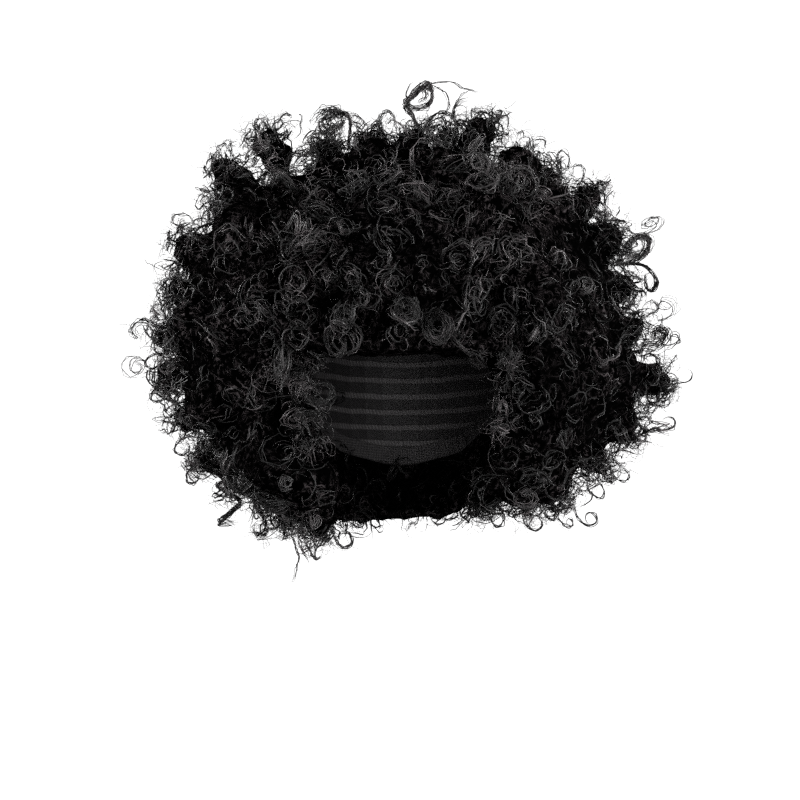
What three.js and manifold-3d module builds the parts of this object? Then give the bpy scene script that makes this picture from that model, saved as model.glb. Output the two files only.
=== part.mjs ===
// An afro wig as it sits on a head: a stretch cap, the elastic band round its edge, and curly hair sewn on
// in six sections, each a hollow mass with chunky curled locks and a few loose ringlets fused to it.
// Sizes are millimetres and angles are degrees. +Z is up, the face looks along -Y, and left and right are
// the wearer's. The origin is where the crown of the head meets the inside of the cap.
// Directions are seen from the middle of the head: azimuth 0 is the face and azimuth 90 the wearer's left.

import * as THREE from "three";
import { mergeVertices } from "three/addons/utils/BufferGeometryUtils.js";
import Module from "manifold-3d";

const wasm = await Module();
wasm.setup();

const { degToRad, radToDeg, lerp } = THREE.MathUtils;

// Head hollow: half an egg above the head's widest level, and a longer half egg below it for the neck
const HEAD_WIDTH = 152;
const HEAD_LENGTH = 192;
const CROWN_HEIGHT = 100;
const NECK_DEPTH = 150;

// Cap and band
const CAP_WALL = 1.2;
const BAND_WALL = 1.5;
const BAND_WIDTH = 12;
const GAP = 0.3;

// Outer reach of the hair from the middle of the head
const HAIR_TOP = 186;
const HAIR_BOTTOM = 150;
const HAIR_FRONT = 160;
const HAIR_BACK = 200;
const HAIR_LEFT = 205;
const HAIR_RIGHT = 200;

// Locks: fat curls that stand on the mass side by side. Each fills a share of its space, and its thickness
// is a share of its width
const LOCK_SPACING = 70;
const LOCK_FILL = 0.9;
const LOCK_FATNESS = 0.41;
const LOCK_STAND = 22;
const LOCK_ROOT = 8;
const LOCK_TURNS = 0.8;
const LOCK_VARIETY = 0.3;

// Ringlets: thin loose curls that leave the mass
const RINGLET_WIDTH = 19;
const RINGLET_THICKNESS = 6;
const RINGLET_PITCH = 20;

// Edges between the sections
const CROWN_EDGE = 50;
const FRINGE_EDGE = 5;
const FRINGE_HALF = 40;
const SIDE_END = 130;
const NAPE_EDGE = -10;

// Lowest hair on each side and at the back
const LEFT_EDGE = -59;
const RIGHT_EDGE = -66;
const BACK_EDGE = -61;

// Smoothness
const HAIR_STEP = 10;
const HAIR_ROW = 12;
const CAP_STEP = 9;
const CAP_ROWS = 6;
const LOCK_SIDES = 5;
const LOCK_RINGS = 6;
const RINGLET_SIDES = 4;
const RINGLET_RINGS_A_TURN = 6;
const WELD = 1e-4;

// Reach of the hair in each direction, as a share of an egg through the six outer reaches
const OUTLINE = [
  { elevation: 90, front: 1.0, left: 1.0, back: 1.0, right: 1.0 },
  { elevation: 72, front: 1.0, left: 1.08, back: 1.0, right: 1.03 },
  { elevation: 55, front: 1.0, left: 1.02, back: 1.02, right: 1.13 },
  { elevation: 40, front: 1.04, left: 1.05, back: 1.03, right: 1.05 },
  { elevation: 20, front: 1.01, left: 0.97, back: 1.03, right: 1.01 },
  { elevation: 0, front: 0.93, left: 1.01, back: 1.0, right: 0.97 },
  { elevation: -20, front: 0.95, left: 0.97, back: 0.99, right: 0.92 },
  { elevation: -40, front: 0.96, left: 0.93, back: 1.01, right: 0.96 },
  { elevation: -55, front: 0.95, left: 0.86, back: 1.02, right: 0.98 },
  { elevation: -70, front: 0.9, left: 0.84, back: 0.98, right: 0.97 },
];

// Dents across the sides of the mass, with their height, their front-to-back length and their depth as
// shares of HAIR_TOP
const DENTS = [
  { azimuth: -90, elevation: 68, height: 0.11, length: 0.6, depth: 0.13 },
  { azimuth: 90, elevation: 64, height: 0.08, length: 0.3, depth: 0.05 },
  { azimuth: -90, elevation: 34, height: 0.1, length: 0.3, depth: 0.07 },
  { azimuth: 90, elevation: 14, height: 0.12, length: 0.3, depth: 0.06 },
  { azimuth: -90, elevation: -12, height: 0.1, length: 0.3, depth: 0.06 },
];

// Edge of the cap, from the brow over the ear tab and the ear to the nape, the same on both sides
const CAP_EDGE = [
  { azimuth: 0, elevation: 32 },
  { azimuth: 34, elevation: 28 },
  { azimuth: 56, elevation: 8 },
  { azimuth: 74, elevation: -9 },
  { azimuth: 95, elevation: 3 },
  { azimuth: 122, elevation: -22 },
  { azimuth: 150, elevation: -32 },
  { azimuth: 180, elevation: -35 },
];

// Where the hair beside the face begins, at the head and at the outside of the mass, below the fringe
const FACE_EDGE = [
  { below: 1, inner: FRINGE_HALF, outer: FRINGE_HALF },
  { below: 11, inner: 56, outer: 42 },
  { below: 25, inner: 61, outer: 45 },
  { below: 41, inner: 64, outer: 50 },
  { below: 55, inner: 65, outer: 55 },
  { below: 75, inner: 68, outer: 62 },
];

// The crown section, which goes all the way round
const CROWN = { from: CROWN_EDGE, to: 90, azimuths: () => ({ start: 0, end: 360 }) };

// Sections beside and behind the crown: their elevations, and their azimuths at each elevation
const SECTIONS = [
  {
    name: "hair_fringe",
    from: FRINGE_EDGE,
    to: CROWN_EDGE,
    azimuths: () => ({ start: -FRINGE_HALF, end: FRINGE_HALF }),
  },
  {
    name: "hair_left_side",
    from: LEFT_EDGE,
    to: CROWN_EDGE,
    azimuths: (elevation, out) => ({ start: faceEdge(elevation, out), end: SIDE_END }),
  },
  {
    name: "hair_right_side",
    from: RIGHT_EDGE,
    to: CROWN_EDGE,
    azimuths: (elevation, out) => ({ start: -SIDE_END, end: -faceEdge(elevation, out) }),
  },
  {
    name: "hair_back",
    from: NAPE_EDGE,
    to: CROWN_EDGE,
    azimuths: () => ({ start: SIDE_END, end: 360 - SIDE_END }),
  },
  {
    name: "hair_nape",
    from: BACK_EDGE,
    to: NAPE_EDGE,
    azimuths: () => ({ start: SIDE_END, end: 360 - SIDE_END }),
  },
];

// Ringlets: where each leaves the mass, how far up or down it leans, and its reach as a share of the hair's
const RINGLETS = [
  { section: "hair_crown", azimuth: 90, elevation: 83, lean: 6, reach: 1.15 },
  { section: "hair_crown", azimuth: -90, elevation: 75, lean: 0, reach: 1.07 },
  { section: "hair_left_side", azimuth: 84, elevation: 27, lean: 5, reach: 1.06 },
  { section: "hair_left_side", azimuth: 86, elevation: 6, lean: 6, reach: 1.07 },
  { section: "hair_left_side", azimuth: 84, elevation: -36, lean: -12, reach: 1.1 },
  { section: "hair_left_side", azimuth: 96, elevation: -50, lean: -20, reach: 1.12 },
  { section: "hair_right_side", azimuth: -82, elevation: 8, lean: 2, reach: 1.09 },
  { section: "hair_right_side", azimuth: -84, elevation: -37, lean: -12, reach: 1.13 },
  { section: "hair_right_side", azimuth: -92, elevation: -58, lean: -6, reach: 1.17 },
  { section: "hair_fringe", azimuth: -20, elevation: 13, lean: -50, reach: 0.98 },
  { section: "hair_fringe", azimuth: 6, elevation: 13, lean: -55, reach: 1.0 },
  { section: "hair_fringe", azimuth: 24, elevation: 14, lean: -50, reach: 0.98 },
  { section: "hair_back", azimuth: 165, elevation: 30, lean: 10, reach: 1.06 },
  { section: "hair_nape", azimuth: 200, elevation: -52, lean: -15, reach: 1.12 },
];

const HAIR = new THREE.MeshStandardMaterial({ color: 0x14110f, roughness: 0.6, metalness: 0 });
const NET = new THREE.MeshStandardMaterial({ color: 0x1b1917, roughness: 0.9, metalness: 0 });
const ELASTIC = new THREE.MeshStandardMaterial({ color: 0x201d1b, roughness: 0.8, metalness: 0 });

const GOLDEN_TURN = (3 - Math.sqrt(5)) / 2;
const MIDDLE = new THREE.Vector3(0, 0, -CROWN_HEIGHT);
const AHEAD = new THREE.Vector3(0, -1, 0);

// A column of a table at any value of its first column, with straight stretches between the rows
function readTable(table, key, column, value) {
  const rows = [...table].sort((a, b) => a[key] - b[key]);
  const next = rows.findIndex((row) => row[key] >= value);
  if (next === 0) return rows[0][column];
  if (next < 0) return rows[rows.length - 1][column];
  const [a, b] = [rows[next - 1], rows[next]];
  return lerp(a[column], b[column], (value - a[key]) / (b[key] - a[key]));
}

function faceEdge(elevation, out) {
  const inner = readTable(FACE_EDGE, "below", "inner", FRINGE_EDGE - elevation);
  const outer = readTable(FACE_EDGE, "below", "outer", FRINGE_EDGE - elevation);
  return lerp(inner, outer, out);
}

function directionAt(azimuth, elevation) {
  const [a, e] = [degToRad(azimuth), degToRad(elevation)];
  return new THREE.Vector3(Math.sin(a) * Math.cos(e), -Math.cos(a) * Math.cos(e), Math.sin(e));
}

// Reach in one direction of an egg with a half length for each of the six ways along the axes
function eggReach(direction, egg) {
  const x = direction.x / (direction.x > 0 ? egg.left : egg.right);
  const y = direction.y / (direction.y < 0 ? egg.front : egg.back);
  const z = direction.z / (direction.z > 0 ? egg.top : egg.bottom);
  return 1 / Math.hypot(x, y, z);
}

function headReach(azimuth, elevation) {
  return eggReach(directionAt(azimuth, elevation), {
    left: HEAD_WIDTH / 2,
    right: HEAD_WIDTH / 2,
    front: HEAD_LENGTH / 2,
    back: HEAD_LENGTH / 2,
    top: CROWN_HEIGHT,
    bottom: NECK_DEPTH,
  });
}

// Reach of the hair's outline, which the tips of the locks touch
function outlineReach(azimuth, elevation) {
  const direction = directionAt(azimuth, elevation);
  const egg = eggReach(direction, {
    left: HAIR_LEFT,
    right: HAIR_RIGHT,
    front: HAIR_FRONT,
    back: HAIR_BACK,
    top: HAIR_TOP,
    bottom: HAIR_BOTTOM,
  });
  const side = readTable(OUTLINE, "elevation", direction.x > 0 ? "left" : "right", elevation);
  const ahead = readTable(OUTLINE, "elevation", direction.y < 0 ? "front" : "back", elevation);
  return egg * lerp(ahead, side, Math.sin(degToRad(azimuth)) ** 2) - dentDepth(direction);
}

function dentDepth(direction) {
  let depth = 0;
  for (const dent of DENTS) {
    const centre = directionAt(dent.azimuth, dent.elevation);
    const off = direction.clone().sub(centre);
    const along = off.dot(AHEAD) / dent.length;
    const up = off.dot(centre.clone().cross(AHEAD)) / dent.height;
    if (direction.dot(centre) > 0) depth += dent.depth * HAIR_TOP * Math.exp(-(up ** 2) - along ** 2);
  }
  return depth;
}

function massReach(azimuth, elevation) {
  return outlineReach(azimuth, elevation) - LOCK_STAND;
}

// Reach of the hair's inner side: clear of the cap and band, also where its flat facets cut inwards
function seatReach(azimuth, elevation) {
  const cut = HEAD_LENGTH * (1 - Math.cos(degToRad(HAIR_ROW / 2)));
  return headReach(azimuth, elevation) + Math.max(CAP_WALL, BAND_WALL) + GAP + cut;
}

function pointAt(azimuth, elevation, reach) {
  return directionAt(azimuth, elevation).multiplyScalar(reach).add(MIDDLE);
}

// Point of a section at a share of the way out, moved by half a gap away from the edges that it is on
function hairPoint(azimuth, elevation, out, inward) {
  const reach = lerp(seatReach(azimuth, elevation), massReach(azimuth, elevation), out);
  const halfGap = radToDeg(GAP / 2 / reach);
  const turned = azimuth + (inward.azimuth * halfGap) / Math.cos(degToRad(elevation));
  return pointAt(turned, elevation + inward.elevation * halfGap, reach);
}

// A closed geometry as a solid, once each vertex has moved to place(vertex, azimuth of a lathe's vertex)
function bentSolid(geometry, place) {
  const position = geometry.getAttribute("position");
  const uv = geometry.getAttribute("uv");
  for (let i = 0; i < position.count; i++) {
    const to = place(new THREE.Vector3().fromBufferAttribute(position, i), 360 * uv.getX(i));
    position.setXYZ(i, to.x, to.y, to.z);
  }
  geometry.deleteAttribute("uv");
  geometry.deleteAttribute("normal");
  const merged = mergeVertices(geometry, WELD);
  const corners = merged.getIndex().array;
  const kept = [];
  for (let i = 0; i < corners.length; i += 3) {
    const [a, b, c] = corners.subarray(i, i + 3);
    if (a !== b && b !== c && c !== a) kept.push(a, b, c);
  }
  return new wasm.Manifold(
    new wasm.Mesh({
      numProp: 3,
      vertProperties: new Float32Array(merged.getAttribute("position").array),
      triVerts: new Uint32Array(kept),
    }),
  );
}

// A lathe whose rows are numbered from 0 on its inner pole or edge, down, round and up the outside
function dome(rows, segments, place) {
  const profile = Array.from({ length: rows }, (_, row) => new THREE.Vector2(1, row));
  return bentSolid(new THREE.LatheGeometry(profile, segments), (from, azimuth) => place(azimuth, from.y));
}

// Height of the cap's edge at an azimuth, eased between the rows of its table
function capEdge(azimuth) {
  const around = Math.abs(((azimuth + 180) % 360) - 180);
  const next = Math.max(CAP_EDGE.findIndex((row) => row.azimuth >= around), 1);
  const [a, b] = [CAP_EDGE[next - 1], CAP_EDGE[next]];
  const part = (around - a.azimuth) / (b.azimuth - a.azimuth);
  return lerp(a.elevation, b.elevation, (1 - Math.cos(Math.PI * part)) / 2);
}

function makeCap() {
  const last = 2 * CAP_ROWS + 1;
  return dome(last + 1, 360 / CAP_STEP, (azimuth, row) => {
    const outside = row > CAP_ROWS;
    const down = (outside ? last - row : row) / CAP_ROWS;
    const elevation = lerp(90, capEdge(azimuth), down);
    return pointAt(azimuth, elevation, headReach(azimuth, elevation) + (outside ? CAP_WALL : 0));
  });
}

// The band carries the cap on below its edge
function makeBand() {
  const corners = [
    { drop: 0, wall: 0 },
    { drop: 1, wall: 0 },
    { drop: 1, wall: BAND_WALL },
    { drop: 0, wall: BAND_WALL },
    { drop: 0, wall: 0 },
  ];
  return dome(corners.length, 360 / CAP_STEP, (azimuth, row) => {
    const edge = capEdge(azimuth);
    const below = radToDeg((GAP + corners[row].drop * BAND_WIDTH) / headReach(azimuth, edge));
    const elevation = edge - below;
    return pointAt(azimuth, elevation, headReach(azimuth, elevation) + corners[row].wall);
  });
}

// A curl that winds round an axis from its base and tapers to its tip
function curl({ base, axis, rise, width, thickness, turns, rings, sides, phase, hand }) {
  const across = new THREE.Vector3(0, 1, 0).cross(axis).normalize();
  const upward = axis.clone().cross(across);
  const radius = (width - thickness) / 2;
  const profile = Array.from({ length: rings }, (_, ring) => ring / (rings - 1)).map(
    (along) => new THREE.Vector2((thickness / 2) * (1 - 0.45 * along ** 2), along),
  );
  const closed = [new THREE.Vector2(0, 0), ...profile, new THREE.Vector2(0, 1)];
  const swirl = 2 * Math.PI * turns * hand;
  return bentSolid(new THREE.LatheGeometry(closed, sides), (from) => {
    const angle = phase + swirl * from.y;
    const out = across.clone().multiplyScalar(Math.cos(angle)).addScaledVector(upward, Math.sin(angle));
    const round = axis.clone().cross(out).multiplyScalar(swirl * radius);
    const forward = round.addScaledVector(axis, rise).normalize();
    const third = out.clone().cross(forward);
    return base
      .clone()
      .addScaledVector(axis, rise * from.y)
      .addScaledVector(out, radius + from.x)
      .addScaledVector(third, from.z);
  });
}

// A lock that fills its space, with its height, turn and hand varied by its number
function makeLock({ azimuth, elevation, space }, number) {
  const stand = LOCK_STAND * (1 - LOCK_VARIETY * ((number * GOLDEN_TURN) % 1));
  const width = LOCK_FILL * space;
  const thickness = LOCK_FATNESS * width;
  return curl({
    base: pointAt(azimuth, elevation, massReach(azimuth, elevation) - LOCK_ROOT),
    axis: directionAt(azimuth, elevation),
    rise: LOCK_ROOT + stand - thickness / 3,
    width,
    thickness,
    turns: LOCK_TURNS,
    rings: LOCK_RINGS,
    sides: LOCK_SIDES,
    phase: 2 * Math.PI * GOLDEN_TURN * number,
    hand: number % 2 ? 1 : -1,
  });
}

function makeRinglet({ azimuth, elevation, lean, reach }) {
  const root = massReach(azimuth, elevation) - LOCK_ROOT;
  const rise = outlineReach(azimuth, elevation) * reach - root;
  const turns = rise / RINGLET_PITCH;
  return curl({
    base: pointAt(azimuth, elevation, root),
    axis: directionAt(azimuth, elevation + lean),
    rise,
    width: RINGLET_WIDTH,
    thickness: RINGLET_THICKNESS,
    turns,
    rings: Math.ceil(turns * RINGLET_RINGS_A_TURN),
    sides: RINGLET_SIDES,
    phase: 0,
    hand: azimuth < 0 ? 1 : -1,
  });
}

// Places of a section's locks in rows of whole spaces, and the room that each has
function lockSpots({ from, to, azimuths }) {
  const spots = [];
  const middle = azimuths((from + to) / 2, 1);
  const height = degToRad(to - from) * massReach((middle.start + middle.end) / 2, (from + to) / 2);
  const rows = Math.round(height / LOCK_SPACING);
  for (let row = 0; row < rows; row++) {
    const elevation = lerp(from, to, (row + 0.5) / rows);
    const { start, end } = azimuths(elevation, 1);
    const round = Math.cos(degToRad(elevation)) * massReach((start + end) / 2, elevation);
    const width = degToRad(end - start) * round;
    const columns = Math.round(width / LOCK_SPACING);
    const space = Math.min(height / rows, width / columns);
    for (let column = 0; column < columns; column++) {
      spots.push({ azimuth: lerp(start, end, (column + 0.5) / columns), elevation, space });
    }
  }
  return spots;
}

// 1 on the low side of a unit box, -1 on its high side and 0 between
function inwardFrom(place) {
  if (place < -0.5 + WELD) return 1;
  return place > 0.5 - WELD ? -1 : 0;
}

// The mass of one section below the crown
function sectionMass({ from, to, azimuths }) {
  const { start, end } = azimuths(to, 1);
  const cells = { around: Math.round((end - start) / HAIR_STEP), up: Math.round((to - from) / HAIR_ROW) };
  return bentSolid(new THREE.BoxGeometry(1, 1, 1, cells.around, cells.up, 1), (at) => {
    const elevation = lerp(from, to, at.y + 0.5);
    const edges = azimuths(elevation, at.z + 0.5);
    const inward = { azimuth: inwardFrom(at.x), elevation: inwardFrom(at.y) };
    return hairPoint(lerp(edges.start, edges.end, at.x + 0.5), elevation, at.z + 0.5, inward);
  });
}

function crownMass() {
  const rows = Math.round((90 - CROWN_EDGE) / HAIR_ROW);
  const last = 2 * rows + 1;
  return dome(last + 1, 360 / HAIR_STEP, (azimuth, row) => {
    const outside = row > rows;
    const down = (outside ? last - row : row) / rows;
    const inward = { azimuth: 0, elevation: down === 1 ? 1 : 0 };
    return hairPoint(azimuth, lerp(90, CROWN_EDGE, down), outside ? 1 : 0, inward);
  });
}

function makeSection(name, mass, spots) {
  const locks = spots.map(makeLock);
  const ringlets = RINGLETS.filter((ringlet) => ringlet.section === name).map(makeRinglet);
  const whole = [...locks, ...ringlets].reduce((joined, piece) => joined.add(piece), mass);
  return meshOf(name, whole, HAIR);
}

function meshOf(name, solid, material) {
  const { vertProperties, triVerts } = solid.getMesh();
  const geometry = new THREE.BufferGeometry();
  geometry.setAttribute("position", new THREE.BufferAttribute(vertProperties, 3));
  geometry.setIndex(new THREE.BufferAttribute(triVerts, 1));
  geometry.computeVertexNormals();
  const mesh = new THREE.Mesh(geometry, material);
  mesh.name = name;
  return mesh;
}

const wig = new THREE.Group();
wig.add(meshOf("wig_cap", makeCap(), NET));
wig.add(meshOf("cap_edge_band", makeBand(), ELASTIC));
wig.add(makeSection("hair_crown", crownMass(), lockSpots(CROWN)));
for (const section of SECTIONS) {
  wig.add(makeSection(section.name, sectionMass(section), lockSpots(section)));
}

export default wig;
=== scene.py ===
"""Dresses the curly afro wig: six sections of curls, loose curls, and the net cap with its elastic edge.

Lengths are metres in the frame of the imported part: +X is the wearer's left, -Y the front and +Z up. The origin
lies on top of the head.
"""

import itertools
import logging
import math
from dataclasses import dataclass, field
from enum import Enum
from typing import Any, Callable, Iterable, Optional, Sequence, Union

import bpy
import numpy as np
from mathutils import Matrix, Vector, noise
from mathutils.bvhtree import BVHTree
from mathutils.kdtree import KDTree


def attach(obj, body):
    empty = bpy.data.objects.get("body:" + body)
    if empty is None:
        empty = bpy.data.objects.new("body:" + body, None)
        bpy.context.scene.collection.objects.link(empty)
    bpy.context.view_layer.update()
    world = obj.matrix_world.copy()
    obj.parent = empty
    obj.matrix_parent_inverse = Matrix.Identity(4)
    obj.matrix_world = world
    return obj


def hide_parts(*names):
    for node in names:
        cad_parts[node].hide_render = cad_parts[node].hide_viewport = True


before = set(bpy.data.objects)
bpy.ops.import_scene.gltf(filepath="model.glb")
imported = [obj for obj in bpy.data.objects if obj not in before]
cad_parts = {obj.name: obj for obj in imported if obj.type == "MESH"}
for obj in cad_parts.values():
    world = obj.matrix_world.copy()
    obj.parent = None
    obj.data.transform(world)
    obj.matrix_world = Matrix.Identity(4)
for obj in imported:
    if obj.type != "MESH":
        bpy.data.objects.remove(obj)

LOG = logging.getLogger("afro_wig")
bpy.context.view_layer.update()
BODY = "root"
MM = 0.001
# the size of the broad patches of painted shade on the hair
SHADE_PATCH = 48 * MM
SEED = 20
HEAD_MIDDLE = np.array((0.0, 0.0, -0.100))
GOLDEN_TURN = math.pi * (3 - math.sqrt(5))
Array = np.ndarray


class Slot(Enum):
    """The record's material slots."""

    HAIR = "hair"
    CAP_NET = "cap_net"
    ELASTIC = "elastic"


class Region(Enum):
    """The sections of hair, each with the CAD node that it stands for."""

    CROWN = "hair_crown"
    FRINGE = "hair_fringe"
    LEFT = "hair_left_side"
    RIGHT = "hair_right_side"
    BACK = "hair_back"
    NAPE = "hair_nape"


# Small vector helpers

def unit(vectors: Array) -> Array:
    """Scales vectors to length one.

    Args:
        vectors: any number of vectors, along the last axis.

    Returns:
        The same directions with length one.
    """
    length = np.linalg.norm(vectors, axis=-1, keepdims=True)
    return vectors / np.maximum(length, 1e-9)


def dot(first: Array, second: Array) -> Array:
    """The dot products of two rows of vectors, with the last axis kept."""
    return (first * second).sum(-1, keepdims=True)


def across(axis: Array, guide: Array) -> tuple[Array, Array]:
    """Two directions square to each axis.

    Args:
        axis: unit vectors.
        guide: where the first direction should lean to.

    Returns:
        The part of guide square to the axis, and the direction square to both.
    """
    first = guide - dot(guide, axis) * axis
    spare = np.cross(axis, np.roll(axis, 1, axis=-1) + 0.37)
    weak = np.linalg.norm(first, axis=-1, keepdims=True) < 0.05
    first = unit(np.where(weak, spare, first))
    return first, np.cross(axis, first)


# Shader maths

Number = Union[float, "Maths"]


def overload(operation: str, reflected: bool = False) -> Callable[["Maths", Number], "Maths"]:
    """An operator of wrapped sockets, which adds a Math node.

    Args:
        operation: the node's operation.
        reflected: whether the socket stands on the operator's right.

    Returns:
        The method.
    """
    def method(self: "Maths", other: Number) -> "Maths":
        """Adds the node."""
        return self.joined(operation, *((other, self) if reflected else (self, other)))

    return method


class Maths:
    """A shader socket that adds Math nodes when it is used in an expression."""

    def __init__(self, book: "Shader", socket: bpy.types.NodeSocket) -> None:
        """Wraps a socket of a shader."""
        self.book = book
        self.socket = socket

    def joined(self, operation: str, *values: Number) -> "Maths":
        """Adds a Math node with those inputs, numbers or sockets, and returns its output."""
        return self.book.node("ShaderNodeMath", {"operation": operation}, dict(enumerate(values)))

    __add__, __radd__ = overload("ADD"), overload("ADD", reflected=True)
    __sub__, __rsub__ = overload("SUBTRACT"), overload("SUBTRACT", reflected=True)
    __mul__, __rmul__ = overload("MULTIPLY"), overload("MULTIPLY", reflected=True)
    __pow__, larger = overload("POWER"), overload("MAXIMUM")

    def sine(self) -> "Maths":
        """The sine of self, in radians."""
        return self.joined("SINE", self)

    def waves(self, pitch: float) -> "Maths":
        """Ridges from 0 to 1, one each pitch of self."""
        return (self * (2 * math.pi / pitch)).sine() * 0.5 + 0.5

    def ramp(self, low: float, high: float) -> "Maths":
        """A smooth step from 0 at low to 1 at high."""
        values = {"Value": self, "From Min": low, "From Max": high}
        return self.book.node("ShaderNodeMapRange", {"interpolation_type": "SMOOTHSTEP"}, values)


class Shader:
    """A material's node tree with one Principled surface."""

    def __init__(self, name: str) -> None:
        """Makes an empty material.

        Args:
            name: the material's name.
        """
        self.material = bpy.data.materials.new(name)
        self.material.use_nodes = True
        self.tree = self.material.node_tree
        self.tree.nodes.clear()
        self.surface = self.tree.nodes.new("ShaderNodeBsdfPrincipled")
        output = self.tree.nodes.new("ShaderNodeOutputMaterial")
        self.tree.links.new(self.surface.outputs["BSDF"], output.inputs["Surface"])

    def node(self, kind: str, settings: dict[str, Any], values: dict[Any, Any], output: Any = 0) -> Maths:
        """Adds one node.

        Args:
            kind: the node's type.
            settings: its properties, set before its sockets.
            values: what goes into each named or numbered socket, a constant or a wrapped socket.
            output: the name or number of the output that is wanted.

        Returns:
            That output, wrapped.
        """
        made = self.tree.nodes.new(kind)
        for name, value in settings.items():
            setattr(made, name, value)
        for name, value in values.items():
            self.feed(made.inputs[name], value)
        return Maths(self, made.outputs[output])

    def feed(self, socket: bpy.types.NodeSocket, value: Any) -> None:
        """Links a wrapped socket into an input, or sets the input's own value.

        Args:
            socket: the input.
            value: a wrapped socket or a constant.
        """
        if isinstance(value, Maths):
            self.tree.links.new(value.socket, socket)
        else:
            socket.default_value = value

    def paint(self, **values: Any) -> bpy.types.Material:
        """Sets the surface's sockets, named with underscores for spaces, and returns the material."""
        for name, value in values.items():
            self.feed(self.surface.inputs[name.replace("_", " ")], value)
        return self.material

    def place(self) -> Maths:
        """The point's Object coordinates."""
        return self.node("ShaderNodeTexCoord", {}, {}, "Object")

    def attribute(self, name: str) -> Maths:
        """The piece's own number of that name."""
        return self.node("ShaderNodeAttribute", {"attribute_name": name}, {}, "Fac")

    def noise(self, at: Maths, size: float, detail: float = 2.0, roughness: float = 0.5) -> Maths:
        """Noise from 0 to 1.

        Args:
            at: where it is read.
            size: the length of its largest features.
            detail: the octaves added.
            roughness: how much the finer octaves count.

        Returns:
            The noise's value.
        """
        values = {"Vector": at, "Scale": 1 / size, "Detail": detail, "Roughness": roughness}
        return self.node("ShaderNodeTexNoise", {}, values, "Fac")

    def blend(self, mask: Number, low: Sequence[float], high: Sequence[float]) -> Maths:
        """A colour that goes from low to high as mask goes from 0 to 1."""
        return self.node("ShaderNodeMix", {"data_type": "RGBA"}, {0: mask, 6: (*low, 1.0), 7: (*high, 1.0)}, 2)

    def relief(self, height: Maths, depth: float) -> Maths:
        """A normal that shows ridges of that depth."""
        return self.node("ShaderNodeBump", {}, {"Height": height, "Distance": depth, "Strength": 1.0})

    def shade_patches(self, at: Maths) -> Maths:
        """Broad random patches of painted shade, from 0 where the hair is painted darkest to 1."""
        return self.noise(at, SHADE_PATCH).ramp(0.38, 0.62)

    def round_head(self, at: Maths, radius: float) -> Maths:
        """How far round the head a point lies, measured at that radius."""
        x, y, _ = self.parts(at)
        return self.node("ShaderNodeMath", {"operation": "ARCTAN2"}, {0: x, 1: y}) * radius

    def grain(self) -> tuple[Maths, Maths, Maths]:
        """How far round its lock the point lies, how far along it, and the lock's own number."""
        return self.parts(self.node("ShaderNodeAttribute", {"attribute_name": "grain"}, {}, "Vector"))

    def vector(self, x: Number, y: Number, z: Number) -> Maths:
        """A vector of three numbers."""
        return self.node("ShaderNodeCombineXYZ", {}, {0: x, 1: y, 2: z})

    def parts(self, vector: Maths) -> tuple[Maths, Maths, Maths]:
        """The x, y and z of a vector."""
        split = self.tree.nodes.new("ShaderNodeSeparateXYZ")
        self.feed(split.inputs[0], vector)
        return Maths(self, split.outputs[0]), Maths(self, split.outputs[1]), Maths(self, split.outputs[2])


# Finishes

@dataclass(frozen=True)
class FibreFinish:
    """Black synthetic fibre, with painted shade deep in the curls and in broad patches, and painted light at the
    crests of the curls.
    """

    name: str = "curl_fibre"
    # deep is the colour of the painted shade, crest the colour where the fibre is painted lit
    deep: tuple[float, float, float] = (0.0010, 0.0009, 0.0010)
    crest: tuple[float, float, float] = (0.125, 0.108, 0.112)
    roughness: float = 0.38

    def make(self) -> bpy.types.Material:
        """Builds the material of single fibres.

        Returns:
            The material.
        """
        shader = Shader(self.name)
        at = shader.place()
        shade = shader.attribute("shade")
        tone = shader.attribute("tone")
        # painted shade: shade darkens the fibre deep in its curl and where its cluster stands out less, and the
        # patches add broad painted shade; tone is each fibre's own tone
        light = shade * (0.16 + 0.84 * shader.shade_patches(at)) * (0.30 + 1.1 * tone)
        colour = shader.blend(light, self.deep, self.crest)
        rough = self.roughness + 0.16 * (1.0 - tone)
        return shader.paint(Base_Color=colour, Roughness=rough, Specular_IOR_Level=0.8)


@dataclass(frozen=True)
class LockFinish:
    """Locks of many black fibres side by side, with painted shade in the gaps between the hairs, deep in the
    curls and in broad patches.
    """

    name: str = "curl_lock"
    # deep is the colour of the painted shade, crest the colour where the lock is painted lit
    deep: tuple[float, float, float] = (0.0006, 0.0005, 0.0006)
    crest: tuple[float, float, float] = (0.120, 0.104, 0.108)
    hair_width: float = 0.80 * MM
    hair_length: float = 16 * MM
    relief: float = 0.35 * MM

    def make(self) -> bpy.types.Material:
        """Builds the material of the locks, streaked along each lock.

        Returns:
            The material.
        """
        shader = Shader(self.name)
        at = shader.place()
        round_lock, along, number = shader.grain()
        shade = shader.attribute("shade")
        tone = shader.attribute("tone")
        spot = shader.vector(round_lock * (1 / self.hair_width), along * (1 / self.hair_length), number)
        hairs = shader.noise(spot, 1.0, 1.0, 0.6).ramp(0.42, 0.64)
        # the hairs are streaks along the lock, with painted shade in the gaps between them; shade and the
        # patches add painted shade deep in the curls and in broad patches; tone is each lock's own tone
        light = hairs * shade * (0.16 + 0.84 * shader.shade_patches(at)) * (0.35 + 0.9 * tone)
        colour = shader.blend(light, self.deep, self.crest)
        normal = shader.relief(hairs, self.relief)
        rough = 0.76 - 0.24 * hairs
        return shader.paint(Base_Color=colour, Roughness=rough, Normal=normal, Specular_IOR_Level=0.5)


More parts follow.
